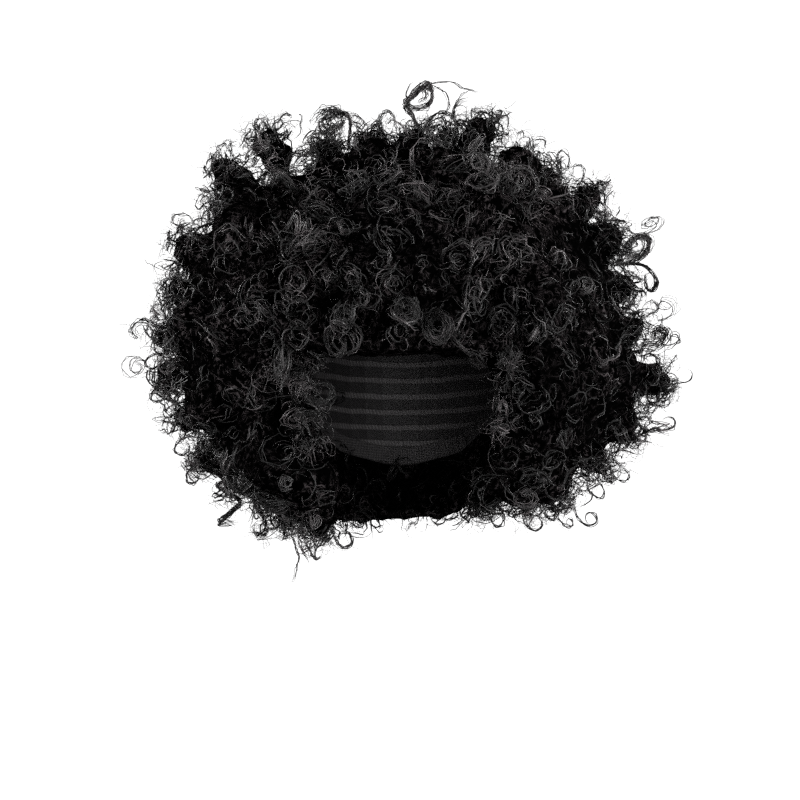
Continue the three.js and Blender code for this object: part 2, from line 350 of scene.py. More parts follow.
@dataclass(frozen=True)
class MassFinish:
    """The dense hair under the locks, nearly black, with fine ridges that run round each curl, and painted shade
    between the ridges, where the curls stand out less and in broad patches.
    """

    name: str = "curl_mass"
    # deep is the colour of the painted shade, crest the colour where the mass is painted lit
    deep: tuple[float, float, float] = (0.0004, 0.0004, 0.0004)
    crest: tuple[float, float, float] = (0.085, 0.073, 0.076)
    roughness: float = 0.8
    fibre_pitch: float = 3.0 * MM
    sway: float = 7 * MM
    relief: float = 1.2 * MM

    def make(self) -> bpy.types.Material:
        """Builds the material of the hair masses.

        Returns:
            The material.
        """
        shader = Shader(self.name)
        at = shader.place()
        shade = shader.attribute("shade")
        coil = shader.attribute("coil")
        wander = shader.noise(at, 9 * MM, 3.0, 0.6) * self.sway
        frizz = shader.noise(at, 2.0 * MM, 2.0, 0.6)
        round_curls = (coil + wander).waves(self.fibre_pitch).ramp(0.80, 1.0)
        loops = (shader.noise(at, 15 * MM, 1.0) * (80 * MM)).waves(self.fibre_pitch).ramp(0.84, 1.0)
        broken = shader.noise(at, 5 * MM, 1.0).ramp(0.42, 0.60)
        ridges = round_curls.larger(loops) * broken * (0.5 + 0.5 * frizz)
        # painted shade: darker between the ridges, where the curls stand out less (shade) and in broad patches
        colour = shader.blend(shade * ridges * (0.3 + 0.7 * shader.shade_patches(at)), self.deep, self.crest)
        return shader.paint(
            Base_Color=colour,
            Roughness=self.roughness,
            Normal=shader.relief(ridges, self.relief),
            Specular_IOR_Level=0.0,
        )


@dataclass(frozen=True)
class NetFinish:
    """Black stretch net with rows of sewn wefts across it."""

    name: str = "cap_net_fabric"
    thread: tuple[float, float, float] = (0.110, 0.103, 0.106)
    gap: tuple[float, float, float] = (0.009, 0.008, 0.009)
    cell: float = 1.9 * MM
    weft_pitch: float = 13 * MM
    weft_share: float = 0.62

    def make(self) -> bpy.types.Material:
        """Builds the net: crossed threads, and a raised sewn row at each weft.

        Returns:
            The material.
        """
        shader = Shader(self.name)
        at = shader.place()
        x, y, z = shader.parts(at)
        stretch = (shader.noise(at, 25 * MM, 1.0) - 0.5) * (3 * MM)
        radius = (x * x + y * y) ** 0.5
        turn = shader.round_head(at, 76 * MM)
        up = z + stretch
        threads = (turn + up).waves(self.cell).larger((turn - up).waves(self.cell)).ramp(0.55, 0.95)
        row = (up + radius * 0.35).waves(self.weft_pitch)
        weft = row.ramp(self.weft_share, 0.85)
        stitches = (turn + up * 0.3).waves(2.4 * MM) * weft
        height = threads * (1.0 - weft) * 0.5 + weft + stitches * 0.4
        colour = shader.blend(height * 0.6, self.gap, self.thread)
        normal = shader.relief(height, 0.7 * MM)
        return shader.paint(Base_Color=colour, Roughness=0.62, Normal=normal)


@dataclass(frozen=True)
class ElasticFinish:
    """Woven black elastic, ribbed across its width."""

    name: str = "woven_elastic"
    groove: tuple[float, float, float] = (0.002, 0.002, 0.002)
    rib: tuple[float, float, float] = (0.085, 0.079, 0.082)
    rib_pitch: float = 1.3 * MM

    def make(self) -> bpy.types.Material:
        """Builds the elastic: ribs along the edge, crossed by fine weft threads.

        Returns:
            The material.
        """
        shader = Shader(self.name)
        at = shader.place()
        turn = shader.round_head(at, 80 * MM)
        height_up = shader.parts(at)[2]
        ribs = turn.waves(self.rib_pitch)
        cross = (height_up + turn * 0.1).waves(2.0 * MM) * 0.35
        worn = shader.noise(at, 8 * MM, 3.0) * 0.3
        height = ribs * 0.65 + cross
        colour = shader.blend(height + worn * 0.5, self.groove, self.rib)
        normal = shader.relief(height, 0.4 * MM)
        return shader.paint(Base_Color=colour, Roughness=0.7, Normal=normal)


@dataclass(frozen=True)
class SweepFinish:
    """The pale seamless sweep, which glows a little so that it stays even."""

    name: str = "studio_sweep"
    paper: tuple[float, float, float] = (0.80, 0.80, 0.80)
    glow: float = 0.92

    def make(self) -> bpy.types.Material:
        """Builds the sweep's paper.

        Returns:
            The material.
        """
        shader = Shader(self.name)
        grain = shader.noise(shader.place(), 0.9, 1.0)
        colour = shader.blend(grain, (0.78, 0.78, 0.78), self.paper)
        return shader.paint(
            Base_Color=colour,
            Roughness=0.9,
            Emission_Color=(1.0, 1.0, 1.0, 1.0),
            Emission_Strength=self.glow,
        )


# Mesh helpers

def linked(name: str, data: bpy.types.ID) -> bpy.types.Object:
    """A new object of the scene, with that mesh, lens or lamp."""
    made = bpy.data.objects.new(name, data)
    bpy.context.scene.collection.objects.link(made)
    return made


def deselect() -> None:
    """Leaves nothing selected."""
    if bpy.context.object is not None and bpy.context.object.mode != "OBJECT":
        bpy.ops.object.mode_set(mode="OBJECT")
    bpy.ops.object.select_all(action="DESELECT")


def choose(*objects: bpy.types.Object) -> None:
    """Selects these objects alone and makes the first one active."""
    deselect()
    for piece in objects:
        piece.select_set(True)
    bpy.context.view_layer.objects.active = objects[0]


def finish_modifier(piece: bpy.types.Object, kind: str, **settings: Any) -> None:
    """Adds one modifier and applies it.

    Args:
        piece: the object it works on.
        kind: the modifier's type.
        settings: its properties.
    """
    choose(piece)
    modifier = piece.modifiers.new(kind.lower(), kind)
    for name, value in settings.items():
        setattr(modifier, name, value)
    bpy.ops.object.modifier_apply(modifier=modifier.name)


def vertices_of(mesh: bpy.types.Mesh) -> Array:
    """The mesh's points as rows."""
    found = np.empty(len(mesh.vertices) * 3, np.float32)
    mesh.vertices.foreach_get("co", found)
    return found.reshape(-1, 3).astype(float)


def move_vertices(mesh: bpy.types.Mesh, points: Array) -> None:
    """Gives the mesh's points new places."""
    mesh.vertices.foreach_set("co", points.astype(np.float32).ravel())
    mesh.update()


def write_number(mesh: bpy.types.Mesh, name: str, values: Array) -> None:
    """Writes a number at each point of a mesh under that name."""
    layer = mesh.attributes.new(name, "FLOAT", "POINT")
    layer.data.foreach_set("value", values.astype(np.float32).ravel())


def tree_of(meshes: Iterable[bpy.types.Mesh]) -> BVHTree:
    """A search tree over several meshes.

    Args:
        meshes: the meshes.

    Returns:
        The tree.
    """
    points: list[Any] = []
    faces: list[Any] = []
    for mesh in meshes:
        start = len(points)
        points.extend(v.co for v in mesh.vertices)
        faces.extend([start + i for i in p.vertices] for p in mesh.polygons)
    return BVHTree.FromPolygons(points, faces)


def strewn_over(mesh: bpy.types.Mesh, count: int, rng: np.random.Generator) -> tuple[Array, Array]:
    """Random points spread over a mesh by area.

    Args:
        mesh: the mesh.
        count: how many points.
        rng: random numbers.

    Returns:
        The points and the face normals there.
    """
    mesh.calc_loop_triangles()
    places = vertices_of(mesh)
    corners = places[np.array([t.vertices[:] for t in mesh.loop_triangles])]
    normals = np.cross(corners[:, 1] - corners[:, 0], corners[:, 2] - corners[:, 0])
    area = np.linalg.norm(normals, axis=1)
    picked = rng.choice(len(area), count, p=area / area.sum())
    u, v = rng.random((2, count, 1))
    folded = u + v > 1
    u, v = np.where(folded, 1 - u, u), np.where(folded, 1 - v, v)
    start, one, two = corners[picked, 0], corners[picked, 1], corners[picked, 2]
    return start + u * (one - start) + v * (two - start), unit(normals[picked])


def balls_at(places: Array, sizes: Array) -> bpy.types.Object:
    """One object with a ball at each place, copied from one small sphere.

    Args:
        places: the middles.
        sizes: the radii.

    Returns:
        The balls.
    """
    deselect()
    bpy.ops.mesh.primitive_ico_sphere_add(subdivisions=2, radius=1.0)
    ball = bpy.context.object
    form = vertices_of(ball.data)
    faces = np.array([list(p.vertices) for p in ball.data.polygons])
    bpy.data.objects.remove(ball)
    points = (places[:, None] + form[None] * sizes[:, None, None]).reshape(-1, 3)
    starts = np.arange(len(places))[:, None, None] * len(form)
    every = (faces[None] + starts).reshape(-1, 3)
    mesh = bpy.data.meshes.new("balls")
    mesh.from_pydata(points.tolist(), [], every.tolist())
    return linked("balls", mesh)


def seen_flat(points: Array) -> tuple[Array, Array]:
    """Where points are seen from the front, as x and z on the plane through the crown.

    Args:
        points: rows of points.

    Returns:
        Their x and their z there.
    """
    scale = Studio.distance / (Studio.distance + points[:, 1])
    return points[:, 0] * scale, (points[:, 2] - Studio.view_height) * scale + Studio.view_height


@dataclass(frozen=True)
class FaceOpening:
    """The opening for the face as it is seen from the front, where its sides draw in below the eyes."""

    right_edge: float = -56 * MM
    right_slope: float = 0.16
    left_edge: float = 66 * MM
    left_slope: float = 0.25
    eyes: float = -123 * MM
    top: float = -84 * MM
    front: float = -20 * MM
    overlap: float = 0.1
    hang: float = 0.5

    def hidden_by(self, points: Array, radius: Array) -> Array:
        """Which curls would hang in front of the face.

        Args:
            points: their middles.
            radius: their radii.

        Returns:
            True for those that would.
        """
        x, z = seen_flat(points)
        below = self.eyes - z
        right = x > self.right_edge + self.right_slope * below - self.overlap * radius
        left = x < self.left_edge - self.left_slope * below + self.overlap * radius
        return right & left & (z < self.top + self.hang * radius) & (points[:, 1] < self.front)


# Lumps

def placed(flat: Array) -> Array:
    """Where points lie that are given as they are seen from the front.

    Args:
        flat: rows of x and z as seen on the plane through the crown, with the true y between them, in
            millimetres.

    Returns:
        The points, in metres.
    """
    made = flat * MM
    scale = 1 + made[..., 1] / Studio.distance
    x = made[..., 0] * scale
    z = (made[..., 2] - Studio.view_height) * scale + Studio.view_height
    return np.stack([x, made[..., 1], z], axis=-1)


@dataclass(frozen=True)
class Puff:
    """A large round lump of curls, placed as it is seen from the front, and its radius, in millimetres."""

    middle: tuple[float, float, float]
    radius: float

    def place(self) -> Array:
        """Its middle, in metres."""
        return placed(np.array(self.middle, float))


# The lumps along the outline, from the wearer's lower right over the top, and those beside the face

OUTLINE_PUFFS = (
    Puff((-84, 30, -209), 17),
    Puff((-63, 5, -221), 15),
    Puff((-105, -10, -182), 17),
    Puff((-149, 28, -165), 18),
    Puff((-161, -28, -135), 19),
    Puff((-174, 20, -104), 19),
    Puff((-174, -26, -73), 19),
    Puff((-169, 36, -40), 18),
    Puff((-160, -16, -9), 22),
    Puff((-136, 34, 25), 17),
    Puff((-131, -14, 48), 21),
    Puff((-101, 14, 72), 20),
    Puff((-114, -10, 33), 17),
    Puff((-55, -22, 66), 18),
    Puff((-22, 24, 73), 18),
    Puff((8, -30, 73), 18),
    Puff((34, 30, 74), 18),
    Puff((60, -6, 80), 20),
    Puff((90, 34, 56), 18),
    Puff((112, -22, 44), 18),
    Puff((143, 24, 30), 19),
    Puff((157, -30, 0), 21),
    Puff((165, 26, -37), 20),
    Puff((172, -28, -70), 20),
    Puff((191, 10, -108), 21),
    Puff((170, -30, -142), 20),
    Puff((150, 26, -170), 17),
    Puff((121, -14, -192), 16),
    Puff((90, 22, -198), 15),
    Puff((63, -2, -198), 13),
    Puff((-73, -98, -98), 14),
    Puff((-70, -96, -124), 14),
    Puff((-68, -84, -150), 14),
    Puff((82, -98, -108), 13),
    Puff((76, -88, -136), 13),
)

# Curls that are seen end on from the front: x, z and radius in millimetres

FRONT_ROSETTES = (
    (-36, -35, 11),
    (-26, -50, 11),
    (-71, -64, 12),
    (-52, -38, 9),
    (52, -14, 8),
    (58, -44, 11),
    (93, -73, 16),
    (95, -121, 12),
    (4, -60, 10),
    (27, -71, 13),
    (70, -66, 10),
    (118, -96, 11),
    (78, -98, 10),
    (-84, -92, 12),
    (-98, -120, 12),
    (-112, -60, 12),
    (-120, -96, 11),
    (-76, -128, 10),
    (120, -48, 12),
    (84, -148, 11),
    (-86, -160, 12),
)


@dataclass
class PuffPlan:
    """Where the large lumps stand: those of the outline, and others spread evenly over the rest."""

    ways: int = 175
    smallest: float = 15 * MM
    largest: float = 25 * MM
    deepest: float = 19 * MM
    highest: float = 2 * MM
    core_share: float = 0.66
    back_drop: float = 7 * MM
    top_rise: float = 22 * MM
    apart: float = 27 * MM
    face_half: float = 46.0
    face_top: float = 14.0
    hair_reach: float = 115 * MM
    lowest: float = -46.0
    behind: float = 0.6
    top: float = 0.5
    far: float = 0.5

    def spread(self, whole: BVHTree) -> tuple[Array, Array]:
        """Chooses the lumps.

        Args:
            whole: every section's base and the cap.

        Returns:
            Their middles and their radii.
        """
        rng = np.random.default_rng(SEED)
        places = [puff.place() for puff in OUTLINE_PUFFS]
        sizes = [puff.radius * MM * self.core_share for puff in OUTLINE_PUFFS]
        for number in range(self.ways):
            height = 1 - 2 * (number + 0.5) / self.ways
            level = math.sqrt(1 - height * height)
            turn = number * GOLDEN_TURN
            way = np.array((level * math.sin(turn), level * math.cos(turn), height))
            way = unit(way + rng.normal(0, 0.05, 3))
            radius = rng.uniform(self.smallest, self.largest)
            drop = self.back_drop if way[1] > self.behind else 0.0
            lift = rng.uniform(-self.deepest, self.highest) - drop
            lift += self.top_rise * max(0.0, way[2] - self.top)
            azimuth = math.degrees(math.atan2(way[0], -way[1]))
            elevation = math.degrees(math.asin(way[2]))
            if (abs(azimuth) < self.face_half and elevation < self.face_top) or elevation < self.lowest:
                continue
            hit = whole.ray_cast(Vector(HEAD_MIDDLE + way * self.far), Vector(-way), self.far)
            if hit[0] is None:
                continue
            reach = float(np.linalg.norm(np.array(hit[0]) - HEAD_MIDDLE))
            place = HEAD_MIDDLE + way * (reach + lift)
            free = all(np.linalg.norm(place - other) > self.apart for other in places)
            if reach > self.hair_reach and free:
                places.append(place)
                sizes.append(radius)
        return np.array(places), np.array(sizes)


# Curl clusters

@dataclass
class Clusters:
    """Round clusters of curl: where each is, what it winds about, its size and which way is out of the hair.

    The crest says how far each stands out from its neighbours, which also sets the painted shade of its hair,
    and the share how much hair it gets.
    """

    centre: Array
    axis: Array
    radius: Array
    outward: Array
    crest: Array
    share: Array

    def __len__(self) -> int:
        """How many there are."""
        return len(self.centre)

    def tree(self) -> KDTree:
        """A search tree over the centres."""
        made = KDTree(len(self))
        for index, place in enumerate(self.centre):
            made.insert(place, index)
        made.balance()
        return made

    def nearest(self, points: Array) -> Array:
        """Which cluster each point belongs to, by distance over radius.

        Args:
            points: rows of points.

        Returns:
            A cluster's number for each point.
        """
        made = self.tree()
        chosen = np.empty(len(points), int)
        for row, point in enumerate(points):
            found = made.find_n(point, 5)
            chosen[row] = min(found, key=lambda hit: hit[2] / self.radius[hit[1]])[1]
        return chosen

    def height(self, points: Array, owner: Array) -> Array:
        """The painted light and shade of each point: how far out of its cluster it lies, from 0 in the creases
        to 1 at the crest, times the cluster's crest.

        Args:
            points: lines of points.
            owner: each line's cluster.

        Returns:
            A height for each point, used as its painted light and shade.
        """
        own = np.repeat(owner[:, None], points.shape[1], axis=1)
        lifted = dot(points - self.centre[own], self.outward[own])[..., 0] / self.radius[own]
        return np.clip((lifted + 0.1) / 0.9, 0, 1) * self.crest[own] ** 1.3

    def rate(
        self, full: float = 13 * MM, near_count: int = 16, least: float = 0.06, level: float = 0.42
    ) -> None:
        """Rates how far each cluster stands out from those about it.

        Args:
            full: the rise that goes from 0 to 1.
            near_count: how many neighbours it is compared with.
            least: the lowest rate.
            level: the rate of a cluster that lies level with its neighbours.
        """
        made = self.tree()
        for row, place in enumerate(self.centre):
            near = [hit[1] for hit in made.find_n(place, near_count)]
            rise = float(np.dot(place - self.centre[near].mean(0), self.outward[row]))
            self.crest[row] = min(1.0, max(least, level + rise / full))


@dataclass
class ClusterPlan:
    """How clusters are strewn over a section, and round the lumps of its outline."""

    spacing: float = 17 * MM
    smallest: float = 7 * MM
    largest: float = 16 * MM
    depth_variety: float = 7 * MM
    open_air: float = 9 * MM
    inner_scale: float = 0.6
    inner_side: float = -0.15
    facing_front: float = -0.35
    rosette_share: float = 0.4
    rosette_spread: float = 0.45
    seat: float = 0.6
    buried: float = 0.3
    splay: float = 0.5
    round_puff: int = 17
    puff_share: float = 1.7
    puff_smallest: float = 0.34
    puff_largest: float = 0.54
    puff_seat: float = 0.82
    puff_inside: float = -0.4


@dataclass
class HairSection:
    """One section: its lumps and clusters, and the dense mass of curl that stands for its node."""

    region: Region
    cap: BVHTree
    seed: int
    plan: ClusterPlan = field(default_factory=ClusterPlan)
    grain: float = 5.8 * MM
    root_reach: float = 150 * MM
    cap_clearance: float = 0.8 * MM
    cap_reach: float = 145 * MM
    hem_rises: tuple[float, ...] = (0.0, 0.07, 0.16)
    front_reach: float = 161 * MM
    frizz_size: float = 9 * MM
    frizz_reach: float = 4.5 * MM
    base_angle: float = 9.0
    base_rank: float = 25.0
    base_points: int = 6000
    strewn: int = 12000
    puffs: list[tuple[Array, float]] = field(default_factory=list)
    outline: list[tuple[Array, float]] = field(default_factory=list)
    rosettes: list[tuple[Array, float]] = field(default_factory=list)
    clusters: Optional[Clusters] = None
    base: Optional[bpy.types.Mesh] = None
    form: Optional[bpy.types.Mesh] = None

    @property
    def short_name(self) -> str:
        """The region's name without the word hair."""
        return self.region.value.removeprefix("hair_")

    def node(self) -> bpy.types.Object:
        """The section's CAD node."""
        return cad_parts[self.region.value]

    def make_base(self) -> None:
        """Keeps a copy of the node's mesh with its raised locks pressed down to the smooth form."""
        rng = np.random.default_rng(self.seed)
        self.base = self.node().data.copy()
        spots, facing = strewn_over(self.base, self.base_points, rng)
        reach = np.linalg.norm(spots - HEAD_MIDDLE, axis=1)
        ways = unit(spots - HEAD_MIDDLE)
        outer = (facing * ways).sum(1) > 0.5
        reach, ways = reach[outer], ways[outer]
        points = vertices_of(self.base)
        own_reach = np.linalg.norm(points - HEAD_MIDDLE, axis=1)
        own_way = unit(points - HEAD_MIDDLE)
        near = own_way @ ways.T > math.cos(math.radians(self.base_angle))
        for row in np.nonzero(near.sum(1) > 5)[0]:
            allowed = np.percentile(reach[near[row]], self.base_rank)
            if own_reach[row] > allowed:
                points[row] = HEAD_MIDDLE + own_way[row] * allowed
        move_vertices(self.base, points)

    def make_form(self) -> None:
        """Blends the section's lumps with its base into the form that the curls stand on."""
        form = linked("form", self.base.copy())
        choose(form)
        bpy.ops.object.mode_set(mode="EDIT")
        bpy.ops.mesh.select_all(action="SELECT")
        bpy.ops.mesh.remove_doubles(threshold=0.01 * MM)
        bpy.ops.object.mode_set(mode="OBJECT")
        if self.puffs:
            places = np.array([place for place, _ in self.puffs])
            sizes = np.array([size for _, size in self.puffs])
            reach = np.linalg.norm(places - HEAD_MIDDLE, axis=1)
            far = reach > self.root_reach
            roots = (places - unit(places - HEAD_MIDDLE) * sizes[:, None])[far]
            balls = balls_at(np.concatenate([places, roots]), np.concatenate([sizes, sizes[far] * 1.05]))
            choose(form, balls)
            bpy.ops.object.join()
        finish_modifier(form, "REMESH", mode="VOXEL", voxel_size=self.grain)
        finish_modifier(form, "SMOOTH", factor=0.5, iterations=2)
        self.form = form.data.copy()
        bpy.data.objects.remove(form)

    def strewn_points(self, rng: np.random.Generator, whole: BVHTree) -> tuple[Array, Array]:
        """Points on the form's open faces, no two closer than the plan's spacing.

        Args:
            rng: the section's random numbers.
            whole: every section's form and the cap.

        Returns:
            The points and the face normals there.
        """
        spots, facing = strewn_over(self.form, self.strewn, rng)
        kept: list[int] = []
        grid: dict[tuple[int, ...], list[int]] = {}
        for row, (spot, normal) in enumerate(zip(spots, facing)):
            hit = whole.ray_cast(Vector(spot + normal * 0.5 * MM), Vector(normal), self.plan.open_air)
            if hit[0] is not None:
                continue
            outward = float(np.dot(normal, unit(spot - HEAD_MIDDLE)))
            gap = self.plan.spacing * (1.0 if outward > 0.25 else 0.8)
            cell = tuple(int(c) for c in np.floor(spot / self.plan.spacing))
            about = itertools.product((-1, 0, 1), repeat=3)
            near = [k for step in about for k in grid.get(tuple(c + s for c, s in zip(cell, step)), [])]
            if any(np.linalg.norm(spots[k] - spot) < gap for k in near):
                continue
            kept.append(row)
            grid.setdefault(cell, []).append(row)
        return spots[kept], facing[kept]

    def plan_clusters(self, whole: BVHTree) -> None:
        """Chooses the section's clusters.

        Args:
            whole: every section's base and the cap.
        """
        rng = np.random.default_rng(self.seed + 100)
        spots, facing = self.strewn_points(rng, whole)
        count = len(spots)
        radial = unit(spots - HEAD_MIDDLE)
        open_side = (dot(facing, radial) > self.plan.inner_side) | (facing[:, 1:2] < self.plan.facing_front)
        outward = unit(np.where(open_side, facing + radial * self.plan.splay, facing))
        radius = rng.uniform(self.plan.smallest, self.plan.largest, (count, 1))
        radius = np.where(open_side, radius, radius * self.plan.inner_scale)
        lift = self.plan.seat * radius - rng.uniform(0, self.plan.depth_variety, (count, 1))
        lift = np.where(open_side, lift, -self.plan.buried * radius)
        axis = unit(rng.normal(size=(count, 3)))
        rosette = rng.random((count, 1)) < self.plan.rosette_share
        axis = unit(np.where(rosette, outward + axis * self.plan.rosette_spread, axis))
        ways = [self.puff_clusters(rng), self.rosette_clusters()]
        centre = np.concatenate([spots + outward * lift] + [more[0] for more in ways])
        axis = np.concatenate([axis] + [more[1] for more in ways])
        radius = np.concatenate([radius[:, 0]] + [more[2] for more in ways])
        outward = np.concatenate([outward] + [more[3] for more in ways])
        centre[:, 1] = np.maximum(centre[:, 1], radius - self.front_reach)
        kept = ~FaceOpening().hidden_by(centre, radius)
        kept[len(kept) - len(self.rosettes):] = True
        share = np.ones(len(centre))
        share[count:count + len(ways[0][0])] = self.plan.puff_share
        ones = np.ones(int(kept.sum()))
        self.clusters = Clusters(centre[kept], axis[kept], radius[kept], outward[kept], ones, share[kept])
        self.clusters.rate()

    def puff_clusters(self, rng: np.random.Generator) -> tuple[Array, Array, Array, Array]:
        """Clusters all round each lump of the outline, outside its core.

        Args:
            rng: the section's random numbers.

        Returns:
            Their middles, axes, radii and ways out.
        """
        rows: list[tuple[Array, Array, float, Array]] = []
        for place, size in self.outline:
            radial = unit(place - HEAD_MIDDLE)
            for number in range(self.plan.round_puff):
                height = 1 - 2 * (number + 0.5) / self.plan.round_puff
                level = math.sqrt(1 - height * height)
                turn = number * GOLDEN_TURN + 10 * place[0]
                even = np.array((level * math.sin(turn), level * math.cos(turn), height))
                way = unit(even + rng.normal(0, 0.12, 3))
                small = size * rng.uniform(self.plan.puff_smallest, self.plan.puff_largest)
                axis = unit(way * rng.uniform(0, 1.2) + rng.normal(0, 0.8, 3))
                if float(way @ radial) > self.plan.puff_inside:
                    middle = place + way * (size - self.plan.puff_seat * small)
                    rows.append((middle, axis, small, unit(way + radial * 0.4)))
        if not rows:
            return np.zeros((0, 3)), np.zeros((0, 3)), np.zeros(0), np.zeros((0, 3))
        return tuple(np.array(column) for column in zip(*rows))

    def rosette_clusters(self) -> tuple[Array, Array, Array, Array]:
        """The clusters whose curls are seen end on from the front: middles, axes, radii and ways out."""
        places = np.array([place for place, _ in self.rosettes]).reshape(-1, 3)
        front = np.broadcast_to(unit(np.array((0.0, -1.0, -0.08))), places.shape)
        return places, front, np.array([size for _, size in self.rosettes]), front

    def make_mass(self, material: bpy.types.Material) -> bpy.types.Object:
        """Keeps the form as the soft, closed mass under the section's curls.

        Args:
            material: the mass's finish.

        Returns:
            The mass, which stands for the section's node.
        """
        mass = linked(f"{self.region.value}_mass", self.form.copy())
        mass.data.materials.clear()
        self.frizz(mass.data)
        self.clear_of_cap(mass.data)
        self.mark_curls(mass.data)
        mass.data.materials.append(material)
        choose(mass)
        bpy.ops.object.shade_smooth()
        return mass

    def frizz(self, mesh: bpy.types.Mesh) -> None:
        """Roughens a mass, so that its edge isn't a smooth line.

        Args:
            mesh: the mass.
        """
        points = vertices_of(mesh)
        facing = np.empty(len(points) * 3, np.float32)
        mesh.vertices.foreach_get("normal", facing)
        lift = [noise.noise(Vector(point / self.frizz_size)) for point in points]
        points = points + facing.reshape(-1, 3) * np.array(lift)[:, None] * self.frizz_reach
        move_vertices(mesh, points)

    def clear_of_cap(self, mesh: bpy.types.Mesh) -> None:
        """Moves the points of a mass out of the cap's wall and of the hollow inside it.

        Args:
            mesh: the mass.
        """
        points = vertices_of(mesh)
        reach = np.linalg.norm(points - HEAD_MIDDLE, axis=1)
        ways = unit(points - HEAD_MIDDLE)
        start = Vector(HEAD_MIDDLE)
        for row in np.nonzero(reach < self.cap_reach)[0]:
            way = Vector(ways[row])
            for rise in self.hem_rises:
                above = (way + Vector((0, 0, rise))).normalized()
                hit = self.cap.ray_cast(start + above * 0.2, -above, 0.2)
                if hit[0] is not None:
                    break
            if hit[0] is not None:
                level = (hit[0] - start).xy.length / max(way.xy.length, 0.3)
                wall = (level if rise else (hit[0] - start).length) + self.cap_clearance
                if reach[row] < wall:
                    points[row] = HEAD_MIDDLE + ways[row] * wall
        move_vertices(mesh, points)

    def mark_curls(self, mesh: bpy.types.Mesh) -> None:
        """Writes how far along its curl's axis each point lies, and how far the curl stands out, which the mass
        paints as its light and shade.

        Args:
            mesh: the mass.
        """
        points = vertices_of(mesh)
        owner = self.clusters.nearest(points)
        along = dot(points - self.clusters.centre[owner], self.clusters.axis[owner])
        write_number(mesh, "coil", along)
        # painted shade: the mass is painted darker where its curl stands out less
        write_number(mesh, "shade", self.clusters.crest[owner])


# Fibres

@dataclass
class FibreBundle:
    """Many fibres with as many points each: lines, half widths, the painted light and shade of each point, and
    each fibre's own tone.
    """

    line: Array
    half: Array
    shade: Array
    tone: Array


def grown(
    rng: np.random.Generator, line: Array, width: Array, shade: Array, root: float = 0.7, tip: float = 0.3
) -> FibreBundle:
    """A bundle of fibres that thin towards both ends.

    Args:
        rng: random numbers.
        line: the fibres' lines.
        width: each fibre's full width.
        shade: the painted light and shade of each point.
        root: the share of the width left at the start.
        tip: the share left at the end.

    Returns:
        The bundle.
    """
    count, points = line.shape[:2]
    along = np.linspace(0, 1, points)
    share = np.minimum(1, root + (1 - root) * along * 4)
    share = np.minimum(share, tip + (1 - tip) * (1 - along) * 3)
    half = np.broadcast_to(width.reshape(count, 1) * 0.5, (count, points)) * share
    return FibreBundle(line, half, shade, rng.random(count))


